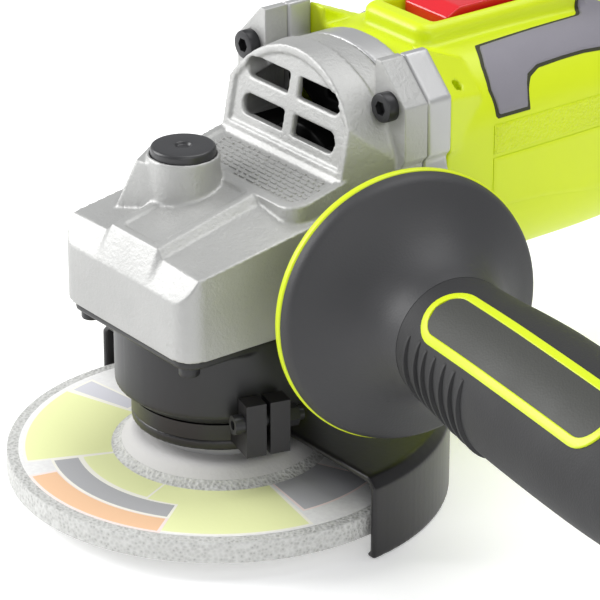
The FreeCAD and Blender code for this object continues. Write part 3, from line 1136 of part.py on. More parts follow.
# ------------------------------------------------------------------ side handle
def make_handle():
    """Stud, hand guard with its coloured rim, core, rubber grip, inlaid ring and end cap."""
    turned("handle_stud", ON_HANDLE, [
        ("0", "-stud_in"), ("stud_radius - 0.6", "-stud_in"), ("stud_radius", "0.6 - stud_in"),
        ("stud_radius", "stud_out"), ("0", "stud_out")])
    turned("hand_guard_rim", ON_HANDLE, [
        ("rim_inner", "rim_back"), ("rim_radius - 1", "rim_back"), ("rim_radius", "rim_back + 1"),
        ("rim_radius", "rim_front"), ("rim_inner", "rim_front")])
    turned("hand_guard", ON_HANDLE, [
        ("stud_radius", "0"), ("shield_hub", "0"), ("shield_hub", "shield_hub_end"),
        ("rim_inner", "rim_back"), ("rim_inner", "rim_front"), ("shield_radius", "rim_front"),
        ("shield_radius", "shield_lip - 1.4"), ("shield_radius - 1.4", "shield_lip"),
        ("shield_radius - 3", "shield_lip"), ("shield_cone_radius", "shield_cone"),
        ("shield_neck_radius", "shield_neck"), ("shield_throat_radius", "shield_throat"),
        ("sleeve_front", "sleeve_start"), ("stud_radius", "sleeve_start")])
    turned("handle_core", ON_HANDLE, [
        ("stud_radius", "sleeve_start"), ("handle_bore", "sleeve_start"),
        ("handle_bore", "sleeve_end"), ("0", "sleeve_end"), ("0", "stud_out"),
        ("stud_radius", "stud_out")])
    turned("handle_grip", ON_HANDLE, [
        ("handle_bore", "sleeve_start"), ("sleeve_front", "sleeve_start"),
        ("sleeve_swell_radius", "sleeve_swell"), ("sleeve_radius", "sleeve_belly"),
        ("sleeve_radius", "sleeve_fade"),
        ("sleeve_back", "sleeve_end"), ("handle_bore", "sleeve_end")])
    turned("handle_end_cap", ON_HANDLE, [
        ("0", "sleeve_end"), ("cap_radius", "sleeve_end"), ("cap_radius", "cap_end - 3"),
        ("cap_round", "cap_end"), ("0", "cap_end")])
    profile = [(S.sleeve_front, S.sleeve_start), (S.sleeve_swell_radius, S.sleeve_swell),
               (S.sleeve_radius, S.sleeve_belly), (S.sleeve_radius, S.sleeve_fade),
               (S.sleeve_back, S.sleeve_end)]
    shell = turned_solid(profile + [(radius + S.badge_proud, at) for radius, at in profile[::-1]])
    shape = stadium(S.badge_half, S.badge_start, S.badge_end)
    shape = shape.cut(stadium(S.badge_half - S.badge_width, S.badge_start + S.badge_width,
                              S.badge_end - S.badge_width))
    # The ring lies on the side that faces up and forward: its middle is turned there in the frame.
    facing = Vector(0, -math.cos(math.radians(S.badge_tilt)), math.sin(math.radians(S.badge_tilt)))
    local = ON_HANDLE.Rotation.inverted().multVec(facing)
    turn = Placement(Vector(), Rotation(UP, math.degrees(math.atan2(local.y, local.x))))
    shaped("handle_ring_inlay", solid_of(shell.common(shape)), ON_HANDLE.multiply(turn))


def stadium(half, start, end):
    """A long round-ended plate standing along local Z, thick along local +X."""
    body = Part.makeBox(40, 2 * half, end - start - 2 * half, Vector(0, -half, start + half))
    caps = [Part.makeCylinder(half, 40, Vector(0, 0, at), SIDE) for at in (start + half, end - half)]
    return body.fuse(caps)


# ------------------------------------------------------------------ build, test and export
for make in (make_disc, make_spindle, make_gears, make_lock, make_cover, make_gear_case, make_bracket,
             make_armature, make_stator, make_brushes, make_housing, make_tail, make_switch, make_guard,
             make_handle):
    make()
doc.recompute()
faults = [thing.Name for thing in doc.Objects
          if any(word in thing.State for word in ("Invalid", "Error"))]
for thing in kept:
    shape = thing.Shape
    if shape.isNull() or not shape.isValid() or shape.Volume <= 0:
        faults.append(thing.Label)
if faults:
    raise RuntimeError("failed: " + ", ".join(faults))
os.makedirs("parts", exist_ok=True)
for thing in kept:
    thing.Shape.exportStep(f"parts/{thing.Label}.step")
print(f"{len(kept)} sub-parts written")
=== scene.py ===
"""Angle grinder with side handle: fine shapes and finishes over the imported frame.

Metres in Blender, millimetres in the tables here. +Z runs up the spindle, +Y back along the motor
and +X towards the side handle.
"""
import json
import logging
import math
import random
from dataclasses import dataclass, field
from enum import Enum

import bmesh
import bpy
from mathutils import Matrix, Vector
from mathutils.bvhtree import BVHTree


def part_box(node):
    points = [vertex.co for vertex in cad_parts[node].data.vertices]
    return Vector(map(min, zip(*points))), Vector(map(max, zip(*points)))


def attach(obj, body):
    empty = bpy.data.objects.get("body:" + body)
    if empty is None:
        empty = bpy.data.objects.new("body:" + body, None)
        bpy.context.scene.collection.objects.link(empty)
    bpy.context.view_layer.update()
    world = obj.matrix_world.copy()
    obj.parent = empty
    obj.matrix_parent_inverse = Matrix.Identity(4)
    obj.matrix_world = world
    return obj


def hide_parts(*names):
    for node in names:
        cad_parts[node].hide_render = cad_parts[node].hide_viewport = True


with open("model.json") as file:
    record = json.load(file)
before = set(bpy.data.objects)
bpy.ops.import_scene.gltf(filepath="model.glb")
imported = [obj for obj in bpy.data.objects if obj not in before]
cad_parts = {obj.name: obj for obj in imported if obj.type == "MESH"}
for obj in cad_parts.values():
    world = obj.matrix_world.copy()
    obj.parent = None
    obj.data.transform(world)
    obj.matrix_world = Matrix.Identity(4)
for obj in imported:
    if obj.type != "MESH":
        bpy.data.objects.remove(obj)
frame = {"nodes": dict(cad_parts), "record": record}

MM = 0.001
LOG = logging.getLogger("grinder")
Colour = tuple[float, float, float]
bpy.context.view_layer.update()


class Grain(Enum):
    """How a surface's fine relief is made."""

    CAST = "cast"
    MOULDED = "moulded"
    RUBBER = "rubber"
    GROUND = "ground"
    COATED = "coated"
    ABRASIVE = "abrasive"
    PAPER = "paper"
    LEATHER = "leather"


class Board:
    """A material's node tree, with short ways to add and join nodes."""

    def __init__(self, name: str) -> None:
        """Start an empty material.

        Args:
            name: the material's name.
        """
        self.material = bpy.data.materials.new(name)
        self.material.use_nodes = True
        self.tree = self.material.node_tree
        self.tree.nodes.clear()
        self.output = self.tree.nodes.new("ShaderNodeOutputMaterial")
        self.shader = self.tree.nodes.new("ShaderNodeBsdfPrincipled")
        self.tree.links.new(self.shader.outputs["BSDF"], self.output.inputs["Surface"])
        self.place = self.tree.nodes.new("ShaderNodeTexCoord").outputs["Object"]

    def node(self, kind: str, **settings: object) -> bpy.types.Node:
        """Add a node and set its properties, returning it."""
        made = self.tree.nodes.new(kind)
        for key, value in settings.items():
            setattr(made, key, value)
        return made

    def join(self, source: bpy.types.NodeSocket, target: bpy.types.NodeSocket) -> None:
        """Link two sockets."""
        self.tree.links.new(source, target)

    def math(self, kind: str, first: object, second: object = 0.0) -> bpy.types.NodeSocket:
        """A Math node on sockets or numbers, returning its output."""
        made = self.node("ShaderNodeMath", operation=kind)
        for socket, value in zip(made.inputs, (first, second)):
            if isinstance(value, bpy.types.NodeSocket):
                self.join(value, socket)
            else:
                socket.default_value = value
        return made.outputs[0]

    def noise(self, scale: float, detail: float = 3.0, rough: float = 0.5) -> bpy.types.NodeSocket:
        """Noise on the piece's own coordinates, returning its value."""
        made = self.node("ShaderNodeTexNoise")
        self.join(self.place, made.inputs["Vector"])
        made.inputs["Scale"].default_value = scale
        made.inputs["Detail"].default_value = detail
        made.inputs["Roughness"].default_value = rough
        return made.outputs["Fac"]

    def cells(self, scale: float) -> bpy.types.NodeSocket:
        """Distance to the nearest cell centre on the piece's own coordinates."""
        made = self.node("ShaderNodeTexVoronoi")
        self.join(self.place, made.inputs["Vector"])
        made.inputs["Scale"].default_value = scale
        return made.outputs["Distance"]

    def ramp(self, source: bpy.types.NodeSocket,
             stops: list[tuple[float, Colour]]) -> bpy.types.NodeSocket:
        """Colour ramp through the given stops, returning its colour."""
        made = self.node("ShaderNodeValToRGB")
        elements = made.color_ramp.elements
        while len(elements) < len(stops):
            elements.new(0.5)
        for element, (at, colour) in zip(elements, stops):
            element.position = at
            element.color = (*colour, 1.0)
        self.join(source, made.inputs["Fac"])
        return made.outputs["Color"]

    def mix(self, factor: object, first: object, second: object) -> bpy.types.NodeSocket:
        """Mix two colours by a factor, returning the colour."""
        made = self.node("ShaderNodeMix", data_type="RGBA")
        for socket, value in ((made.inputs[0], factor), (made.inputs[6], first),
                              (made.inputs[7], second)):
            if isinstance(value, bpy.types.NodeSocket):
                self.join(value, socket)
            elif isinstance(value, tuple):
                socket.default_value = (*value, 1.0)
            else:
                socket.default_value = value
        return made.outputs[2]

    def within(self, boxes: tuple[tuple[Vector, Vector], ...]) -> bpy.types.NodeSocket:
        """A mask that is 1 inside any of the boxes, given by low and high corners in millimetres."""
        split = self.node("ShaderNodeSeparateXYZ")
        self.join(self.place, split.inputs[0])
        inside: object = 0.0
        for low, high in boxes:
            mask: object = 1.0
            for axis in range(3):
                centre, half = (low[axis] + high[axis]) / 2 * MM, (high[axis] - low[axis]) / 2 * MM
                offset = self.math("ABSOLUTE", self.math("SUBTRACT", split.outputs[axis], centre))
                mask = self.math("MULTIPLY", self.math("LESS_THAN", offset, half), mask)
            inside = self.math("MAXIMUM", mask, inside)
        return inside

    def spread(self, source: bpy.types.NodeSocket, low: float, high: float) -> bpy.types.NodeSocket:
        """Map 0..1 to low..high."""
        made = self.node("ShaderNodeMapRange")
        self.join(source, made.inputs["Value"])
        made.inputs["To Min"].default_value = low
        made.inputs["To Max"].default_value = high
        return made.outputs["Result"]

    def bump(self, height: bpy.types.NodeSocket, depth: float, strength: float = 1.0) -> None:
        """Raise the surface by a height socket, depth in millimetres."""
        made = self.node("ShaderNodeBump")
        made.inputs["Strength"].default_value = strength
        made.inputs["Distance"].default_value = depth * MM
        self.join(height, made.inputs["Height"])
        self.join(made.outputs["Normal"], self.shader.inputs["Normal"])


@dataclass(frozen=True)
class Finish:
    """One surface finish: colour, gloss and fine grain."""

    name: str
    colour: Colour
    grain: Grain
    roughness: float = 0.5
    metallic: float = 0.0
    coat: float = 0.0
    depth: float = 0.02
    shift: float = 0.08

    def build(self, unlit: tuple[tuple[Vector, Vector], ...] = ()) -> bpy.types.Material:
        """Make the material.

        Args:
            unlit: low and high corners, in millimetres, of boxes within which the finish is painted near
            black and loses its specular shine: painted shade for the shadowed inside of a casting.

        Returns:
            The material.
        """
        board = Board(self.name)
        shader = board.shader
        shader.inputs["Metallic"].default_value = self.metallic
        shader.inputs["Coat Weight"].default_value = self.coat
        shader.inputs["Coat Roughness"].default_value = 0.12
        light = tuple(min(1.0, part * (1 + self.shift)) for part in self.colour)
        dark = tuple(part * (1 - self.shift) for part in self.colour)
        wide = board.noise(22.0, 4.0)
        colour = board.ramp(wide, [(0.3, dark), (0.7, light)])
        # Painted shade: inside the unlit boxes the colour is painted near black (0.012) and the specular shine
        # is turned off, standing in for the shadow inside the casting.
        if unlit:
            within = board.within(unlit)
            colour = board.mix(within, colour, (0.012, 0.012, 0.012))
            board.join(board.math("SUBTRACT", 1.0, within), shader.inputs["Specular IOR Level"])
        board.join(colour, shader.inputs["Base Color"])
        rough = board.spread(board.noise(60.0, 3.0), self.roughness * 0.88, self.roughness * 1.12)
        board.join(rough, shader.inputs["Roughness"])
        board.bump(self.relief(board), self.depth)
        return board.material

    def relief(self, board: Board) -> bpy.types.NodeSocket:
        """The height that the bump reads.

        Args:
            board: the material being made.

        Returns:
            A height socket.
        """
        if self.grain is Grain.CAST:
            return board.math("ADD", board.noise(900.0, 5.0, 0.6),
                              board.math("MULTIPLY", board.noise(150.0, 3.0), 1.2))
        if self.grain is Grain.RUBBER:
            return board.cells(1500.0)
        if self.grain is Grain.GROUND:
            stretch = board.node("ShaderNodeMapping")
            stretch.inputs["Scale"].default_value = (40.0, 40.0, 1800.0)
            board.join(board.place, stretch.inputs["Vector"])
            made = board.node("ShaderNodeTexNoise")
            made.inputs["Scale"].default_value = 1.0
            board.join(stretch.outputs["Vector"], made.inputs["Vector"])
            return made.outputs["Fac"]
        if self.grain is Grain.COATED:
            return board.noise(700.0, 2.0)
        if self.grain is Grain.LEATHER:
            return board.math("ADD", board.cells(1100.0), board.noise(1600.0, 2.0))
        return board.noise(1100.0, 3.0)


LIME: Colour = (0.60, 0.72, 0.0)
FINISHES: dict[str, Finish] = {
    "cast_aluminium": Finish("cast_aluminium", (0.42, 0.42, 0.41), Grain.CAST, 0.50, 0.5, depth=0.2,
                             shift=0.12),
    "bracket_aluminium": Finish("bracket_aluminium", (0.46, 0.46, 0.46), Grain.CAST, 0.42, 0.55,
                                depth=0.05),
    "black_steel": Finish("black_steel", (0.030, 0.030, 0.032), Grain.GROUND, 0.38, 0.5),
    "black_cover": Finish("black_cover", (0.016, 0.016, 0.017), Grain.COATED, 0.42, 0.1),
    "guard_black": Finish("guard_black", (0.012, 0.011, 0.012), Grain.COATED, 0.34, 0.1),
    "bearing_steel": Finish("bearing_steel", (0.60, 0.60, 0.60), Grain.GROUND, 0.25, 1.0),
    "gear_steel": Finish("gear_steel", (0.42, 0.41, 0.40), Grain.GROUND, 0.34, 1.0),
    "sintered_bronze": Finish("sintered_bronze", (0.55, 0.38, 0.18), Grain.CAST, 0.45, 0.9),
    "seal_rubber": Finish("seal_rubber", (0.03, 0.03, 0.03), Grain.RUBBER, 0.7),
    "lamination_steel": Finish("lamination_steel", (0.33, 0.33, 0.35), Grain.GROUND, 0.5, 0.8),
    "copper": Finish("copper", (0.60, 0.26, 0.10), Grain.GROUND, 0.35, 0.9),
    "carbon": Finish("carbon", (0.04, 0.04, 0.04), Grain.MOULDED, 0.6),
    "dark_plastic": Finish("dark_plastic", (0.035, 0.035, 0.036), Grain.MOULDED, 0.5, depth=0.04),
    "button_plastic": Finish("button_plastic", (0.030, 0.030, 0.032), Grain.MOULDED, 0.36),
    "abrasive": Finish("abrasive", (0.50, 0.50, 0.48), Grain.ABRASIVE, 0.9),
    "label_paper": Finish("label_paper", (0.80, 0.81, 0.62), Grain.PAPER, 0.7),
    "lime_plastic": Finish("lime_plastic", LIME, Grain.MOULDED, 0.42, coat=0.05, depth=0.008,
                           shift=0.03),
    "soft_grey": Finish("soft_grey", (0.215, 0.205, 0.235), Grain.RUBBER, 0.62, depth=0.03),
    "red_plastic": Finish("red_plastic", (0.62, 0.003, 0.012), Grain.MOULDED, 0.3, coat=0.3,
                          depth=0.01),
    "grey_rubber": Finish("grey_rubber", (0.014, 0.014, 0.015), Grain.RUBBER, 0.66, depth=0.04),
}
GUARD_RUBBER = Finish("guard_rubber", (0.030, 0.030, 0.032), Grain.RUBBER, 0.55, depth=0.03)
INLAY_RUBBER = Finish("inlay_rubber", (0.040, 0.041, 0.036), Grain.RUBBER, 0.6, depth=0.05)
GRAINED_LIME = Finish("grained_lime", LIME, Grain.LEATHER, 0.42, depth=0.28, shift=0.08)
SEAM = Finish("seam_rubber", (0.030, 0.032, 0.012), Grain.RUBBER, 0.7)


def solid(name: str, points: list[Vector], faces: list[list[int]], finish: str,
          smooth: bool = True) -> bpy.types.Object:
    """Make a mesh piece from points in millimetres.

    Args:
        name: the piece's name.
        points: its corners, in millimetres.
        faces: its faces, as indices.
        finish: the material slot it takes its finish from.
        smooth: whether faces are shaded smooth up to a crease angle.

    Returns:
        The piece, linked to the scene.
    """
    mesh = bpy.data.meshes.new(name)
    mesh.from_pydata([tuple(point * MM) for point in points], [], faces)
    work = bmesh.new()
    work.from_mesh(mesh)
    bmesh.ops.remove_doubles(work, verts=work.verts, dist=1e-7)
    bmesh.ops.recalc_face_normals(work, faces=work.faces)
    work.to_mesh(mesh)
    work.free()
    piece = bpy.data.objects.new(name, mesh)
    bpy.context.scene.collection.objects.link(piece)
    dress(piece, finish)
    if smooth:
        soften(mesh)
    return piece


def soften(mesh: bpy.types.Mesh, degrees: float = 34.0) -> None:
    """Shade a mesh smooth, keeping edges sharper than an angle."""
    mesh.shade_smooth()
    mesh.set_sharp_from_angle(angle=math.radians(degrees))


MADE: dict[str, bpy.types.Material] = {}


def material(finish: str) -> bpy.types.Material:
    """The material of a slot, made on first use."""
    if finish not in MADE:
        MADE[finish] = FINISHES[finish].build()
    return MADE[finish]


def material_of(finish: Finish) -> bpy.types.Material:
    """The material of a finish outside the slots, made on first use."""
    if finish.name not in MADE:
        MADE[finish.name] = finish.build()
    return MADE[finish.name]


def dress(piece: bpy.types.Object, finish: str, made: bpy.types.Material | None = None) -> None:
    """Give a piece its material.

    Args:
        piece: the piece to dress.
        finish: the record's material slot.
        made: a material of its own, or None for the slot's.
    """
    piece.data.materials.clear()
    piece.data.materials.append(made or material(finish))


def put(piece: bpy.types.Object, body: str, *nodes: str) -> bpy.types.Object:
    """Let a piece ride on a body and stand for its nodes, returning the piece."""
    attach(piece, body)
    if nodes:
        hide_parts(*nodes)
    LOG.info("%s rides on %s, %d faces", piece.name, body, len(piece.data.polygons))
    return piece


def rounded_copy(node: str, name: str, finish: str, voxel: float, passes: int,
                 keep: float) -> bpy.types.Object:
    """A copy of a CAD node with softly rounded edges, as a casting or moulding has.

    Args:
        node: the CAD node to copy.
        name: the new piece's name.
        finish: its material slot.
        voxel: the remesh size, in millimetres.
        passes: how many smoothing passes round the edges.
        keep: the share of faces kept afterwards.

    Returns:
        The new piece.
    """
    mesh = frame["nodes"][node].data.copy()
    piece = bpy.data.objects.new(name, mesh)
    bpy.context.scene.collection.objects.link(piece)
    work = bmesh.new()
    work.from_mesh(mesh)
    bmesh.ops.remove_doubles(work, verts=work.verts, dist=1e-6)
    work.to_mesh(mesh)
    work.free()
    mesh.name = name
    remesh = piece.modifiers.new("remesh", "REMESH")
    remesh.mode = "VOXEL"
    remesh.voxel_size = voxel * MM
    smooth = piece.modifiers.new("smooth", "SMOOTH")
    smooth.iterations = passes
    smooth.factor = 0.5
    thin = piece.modifiers.new("thin", "DECIMATE")
    thin.ratio = keep
    settle(piece)
    dress(piece, finish)
    piece.data.shade_smooth()
    return piece


def settle(piece: bpy.types.Object) -> None:
    """Turn a piece's modifiers into plain mesh."""
    bpy.context.view_layer.update()
    graph = bpy.context.evaluated_depsgraph_get()
    mesh = bpy.data.meshes.new_from_object(piece.evaluated_get(graph), depsgraph=graph)
    piece.modifiers.clear()
    old = piece.data
    piece.data = mesh
    mesh.name = piece.name
    if old.users == 0:
        bpy.data.meshes.remove(old)


def lathe(name: str, profile: list[tuple[float, float]], finish: str, place: Matrix,
          steps: int = 96) -> bpy.types.Object:
    """A turned piece from a closed (radius, height) profile.

    Args:
        name: the piece's name.
        profile: its corners in millimetres, closed by joining the last to the first.
        finish: its material slot.
        place: where its local frame stands, in millimetres.
        steps: how many steps go round.

    Returns:
        The piece.
    """
    points, faces = [], []
    count = len(profile)
    for i in range(steps):
        turn = 2 * math.pi * i / steps
        for radius, height in profile:
            points.append(place @ Vector((radius * math.cos(turn), radius * math.sin(turn), height)))
    for i in range(steps):
        j = (i + 1) % steps
        for a in range(count):
            b = (a + 1) % count
            faces.append([i * count + a, i * count + b, j * count + b, j * count + a])
    return solid(name, points, faces, finish)


def fillet(corners: list[tuple[float, float, float]], arc: int = 5) -> list[tuple[float, float]]:
    """Round the corners of a closed profile.

    Args:
        corners: (across, up, radius) for each corner.
        arc: how many steps each rounding takes.

    Returns:
        The rounded profile.
    """
    result = []
    count = len(corners)
    for i, (across, up, radius) in enumerate(corners):
        here = Vector((across, up))
        if radius <= 0:
            result.append((across, up))
            continue
        before = Vector(corners[i - 1][:2]) - here
        after = Vector(corners[(i + 1) % count][:2]) - here
        reach = min(radius, before.length * 0.48, after.length * 0.48)
        start, end = here + before.normalized() * reach, here + after.normalized() * reach
        for k in range(arc + 1):
            share = k / arc
            point = start * (1 - share) ** 2 + here * 2 * share * (1 - share) + end * share ** 2
            result.append((point.x, point.y))
    return result


def handle_place() -> Matrix:
    """The side handle's frame, local +Z running out along it, in millimetres."""
    forward, lift = math.radians(11.9), math.radians(2.8)
    along = Vector((math.cos(forward) * math.cos(lift), -math.sin(forward) * math.cos(lift),
                    math.sin(lift)))
    turn = Vector((0, 0, 1)).rotation_difference(along)
    return Matrix.Translation(Vector((49.5, 23.1, 64.4))) @ turn.to_matrix().to_4x4()


class Skin:
    """The outer surface of a finished piece, for laying thin panels on it."""

    def __init__(self, piece: bpy.types.Object, axis_height: float) -> None:
        """Read the piece's surface.

        Args:
            piece: the piece whose surface is followed.
            axis_height: height of the line that rays aim at, in millimetres.
        """
        work = bmesh.new()
        work.from_mesh(piece.data)
        self.tree = BVHTree.FromBMesh(work)
        work.free()
        self.axis_height = axis_height

    def point(self, y: float, angle: float, lift: float) -> Vector:
        """A point lifted off the surface.

        Args:
            y: distance along the motor, in millimetres.
            angle: degrees round the motor from +X towards +Z.
            lift: height above the surface, in millimetres.

        Returns:
            The point, in millimetres.
        """
        out = Vector((math.cos(math.radians(angle)), 0, math.sin(math.radians(angle))))
        start = Vector((0, y, self.axis_height)) + out * 90
        hit, _, _, _ = self.tree.ray_cast(start * MM, -out)
        if hit is None:
            raise ValueError(f"no skin at {y}, {angle}")
        return hit / MM + out * lift

    def panel(self, name: str, outline: list[tuple[float, float]], finish: str, lift: float,
              rows: int = 24, mirrored: bool = False) -> bpy.types.Object:
        """A thin panel lying on the skin.

        Args:
            name: the panel's name.
            outline: closed outline of (y, angle) corners with one span of angles at each y.
            finish: its material slot.
            lift: how far it stands proud, in millimetres.
            rows: how many steps it takes across.
            mirrored: whether it lies on the -X side.

        Returns:
            The panel.
        """
        first, last = min(y for y, _ in outline), max(y for y, _ in outline)
        count = int((last - first) / 0.7)
        ys = sorted({round(first + (last - first) * k / count, 2) for k in range(count + 1)})
        top, low = [], []
        for k, y in enumerate(ys):
            spans = crossings(outline, min(max(y, first + 0.01), last - 0.01))
            ends = edge_fade(k / (len(ys) - 1), 0.02)
            raised, sunk = [], []
            for j in range(rows + 1):
                angle = spans[0] + (spans[1] - spans[0]) * j / rows
                angle = 180 - angle if mirrored else angle
                raised.append(self.point(y, angle, lift * min(ends, edge_fade(j / rows, 0.05))))
                sunk.append(self.point(y, angle, -0.6))
            top.append(raised)
            low.append(sunk)
        return slab(name, top, low, finish)


def edge_fade(share: float, band: float) -> float:
    """Lower a panel's first and last steps, so that its edge is rounded.

    Args:
        share: 0 to 1 across the panel.
        band: the share over which the edge rises.

    Returns:
        A factor on the panel's height.
    """
    edge = min(share, 1 - share)
    return 0.5 + 0.5 * min(1.0, edge / band) ** 0.5


def crossings(outline: list[tuple[float, float]], y: float) -> tuple[float, float]:
    """The lowest and highest angle of a closed outline at a station."""
    found = []
    count = len(outline)
    for i in range(count):
        (y0, a0), (y1, a1) = outline[i], outline[(i + 1) % count]
        if min(y0, y1) - 1e-6 <= y <= max(y0, y1) + 1e-6:
            if abs(y1 - y0) < 1e-6:
                found += [a0, a1]
            else:
                found.append(a0 + (a1 - a0) * (y - y0) / (y1 - y0))
    return min(found), max(found)


def slab(name: str, top: list[list[Vector]], low: list[list[Vector]],
         finish: str) -> bpy.types.Object:
    """A closed thin piece between two grids of points.

    Args:
        name: the piece's name.
        top: rows of points of the outer face.
        low: rows of points of the inner face.
        finish: its material slot.

    Returns:
        The piece.
    """
    rows, columns = len(top), len(top[0])
    points = [point for line in top for point in line] + [point for line in low for point in line]
    under = rows * columns
    faces = []
    for i in range(rows - 1):
        for j in range(columns - 1):
            a, b, c, d = (i * columns + j, (i + 1) * columns + j, (i + 1) * columns + j + 1,
                          i * columns + j + 1)
            faces += [[a, b, c, d], [under + d, under + c, under + b, under + a]]
    border = ([(0, j) for j in range(columns - 1)] + [(i, columns - 1) for i in range(rows - 1)]
              + [(rows - 1, j) for j in range(columns - 1, 0, -1)] + [(i, 0) for i in range(rows - 1, 0, -1)])
    for k, (i, j) in enumerate(border):
        p, q = border[(k + 1) % len(border)]
        a, b = i * columns + j, p * columns + q
        faces.append([a, b, under + b, under + a])
    return solid(name, points, faces, finish)


def stadium(start: float, end: float, half: float, steps: int = 12) -> list[tuple[float, float]]:
    """A closed round-ended outline along the first axis, half wide on each side of the second."""
    outline = []
    for centre, begin in ((end - half, -90), (start + half, 90)):
        for k in range(steps + 1):
            turn = math.radians(begin + 180 * k / steps)
            outline.append((centre + half * math.cos(turn), half * math.sin(turn)))
    return outline


class Repeats:
    """A Geometry Nodes tree that sets one template on every vertex of a guide."""

    def __init__(self, name: str) -> None:
        """Build the tree.

        Args:
            name: the tree's name.
        """
        tree = bpy.data.node_groups.new(name, "GeometryNodeTree")
        self.tree = tree
        for label, kind in (("Guide", "NodeSocketGeometry"), ("Template", "NodeSocketObject"),
                            ("Scale", "NodeSocketFloat"), ("Finish", "NodeSocketMaterial")):
            tree.interface.new_socket(label, in_out="INPUT", socket_type=kind)
        tree.interface.new_socket("Geometry", in_out="OUTPUT", socket_type="NodeSocketGeometry")
        source, sink = tree.nodes.new("NodeGroupInput"), tree.nodes.new("NodeGroupOutput")
        template = tree.nodes.new("GeometryNodeObjectInfo")
        copies = tree.nodes.new("GeometryNodeInstanceOnPoints")
        turn = tree.nodes.new("FunctionNodeAlignRotationToVector")
        turn.axis = "Z"
        normal = tree.nodes.new("GeometryNodeInputNormal")
        real = tree.nodes.new("GeometryNodeRealizeInstances")
        paint = tree.nodes.new("GeometryNodeSetMaterial")
        link = tree.links.new
        link(source.outputs["Guide"], copies.inputs["Points"])
        link(source.outputs["Template"], template.inputs["Object"])
        link(template.outputs["Geometry"], copies.inputs["Instance"])
        link(normal.outputs["Normal"], turn.inputs["Vector"])
        link(turn.outputs["Rotation"], copies.inputs["Rotation"])
        size = tree.nodes.new("GeometryNodeInputNamedAttribute")
        size.inputs["Name"].default_value = "size"
        scaled = tree.nodes.new("ShaderNodeMath")
        scaled.operation = "MULTIPLY"
        link(source.outputs["Scale"], scaled.inputs[0])
        link(size.outputs["Attribute"], scaled.inputs[1])
        link(scaled.outputs[0], copies.inputs["Scale"])
        link(copies.outputs["Instances"], real.inputs["Geometry"])
        link(real.outputs["Geometry"], paint.inputs["Geometry"])
        link(source.outputs["Finish"], paint.inputs["Material"])
        link(paint.outputs["Geometry"], sink.inputs["Geometry"])

    def spread(self, name: str, template: bpy.types.Object, places: list[Vector], facing: Vector,
               finish: str, sizes: list[float] | None = None) -> bpy.types.Object:
        """Set a template at places, its +Z turned to face one way.

        Args:
            name: the new piece's name.
            template: the piece to repeat, made about the origin. It is removed afterwards.
            places: where copies stand, in millimetres.
            facing: the direction that the template's +Z turns to.
            finish: the material slot.
            sizes: a scale for each place, or None for the template's own size.

        Returns:
            The finished piece.
        """
        mesh = bpy.data.meshes.new(name)
        side = facing.orthogonal().normalized()
        up = facing.cross(side).normalized()
        points, faces = [], []
        tiny = 0.0005
        for at in places:
            base = len(points)
            points += [at + side * tiny, at + up * tiny, at - side * tiny]
            faces.append([base, base + 1, base + 2])
        mesh.from_pydata([tuple(point * MM) for point in points], [], faces)
        size = mesh.attributes.new("size", "FLOAT", "POINT")
        for index in range(len(points)):
            size.data[index].value = sizes[index // 3] if sizes else 1.0
        guide = bpy.data.objects.new(name, mesh)
        bpy.context.scene.collection.objects.link(guide)
        live = guide.modifiers.new("repeats", "NODES")
        live.node_group = self.tree
        sockets = {item.name: item.identifier for item in self.tree.interface.items_tree
                   if item.in_out == "INPUT"}
        live[sockets["Template"]] = template
        live[sockets["Scale"]] = 1.0
        live[sockets["Finish"]] = material(finish)
        settle(guide)
        work = bmesh.new()
        work.from_mesh(guide.data)
        bmesh.ops.remove_doubles(work, verts=work.verts, dist=3e-6)
        bmesh.ops.recalc_face_normals(work, faces=work.faces)
        work.to_mesh(guide.data)
        work.free()
        bpy.data.objects.remove(template)
        dress(guide, finish)
        soften(guide.data)
        return guide


CREAM: Colour = (0.92, 0.90, 0.80)
PINK: Colour = (0.90, 0.78, 0.74)
PRINTS: list[tuple[tuple[float, float], tuple[float, float], Colour, Colour]] = [
    ((31.0, 57.0), (198, 246), (0.84, 0.88, 0.44), CREAM),
    ((35.0, 56.0), (188, 196), (0.66, 0.66, 0.70), CREAM),
    ((31.0, 57.6), (294, 349), (0.84, 0.88, 0.46), CREAM),
    ((50.8, 58.2), (256, 306), (0.88, 0.56, 0.34), PINK),
    ((31.0, 41.0), (248, 293), (0.84, 0.88, 0.46), CREAM),
    ((42.5, 49.6), (248, 306), (0.44, 0.44, 0.45), CREAM),
    ((31.0, 49.5), (352, 384), (0.48, 0.48, 0.50), PINK),
    ((31.0, 55.0), (60, 120), (0.84, 0.88, 0.44), CREAM),
]


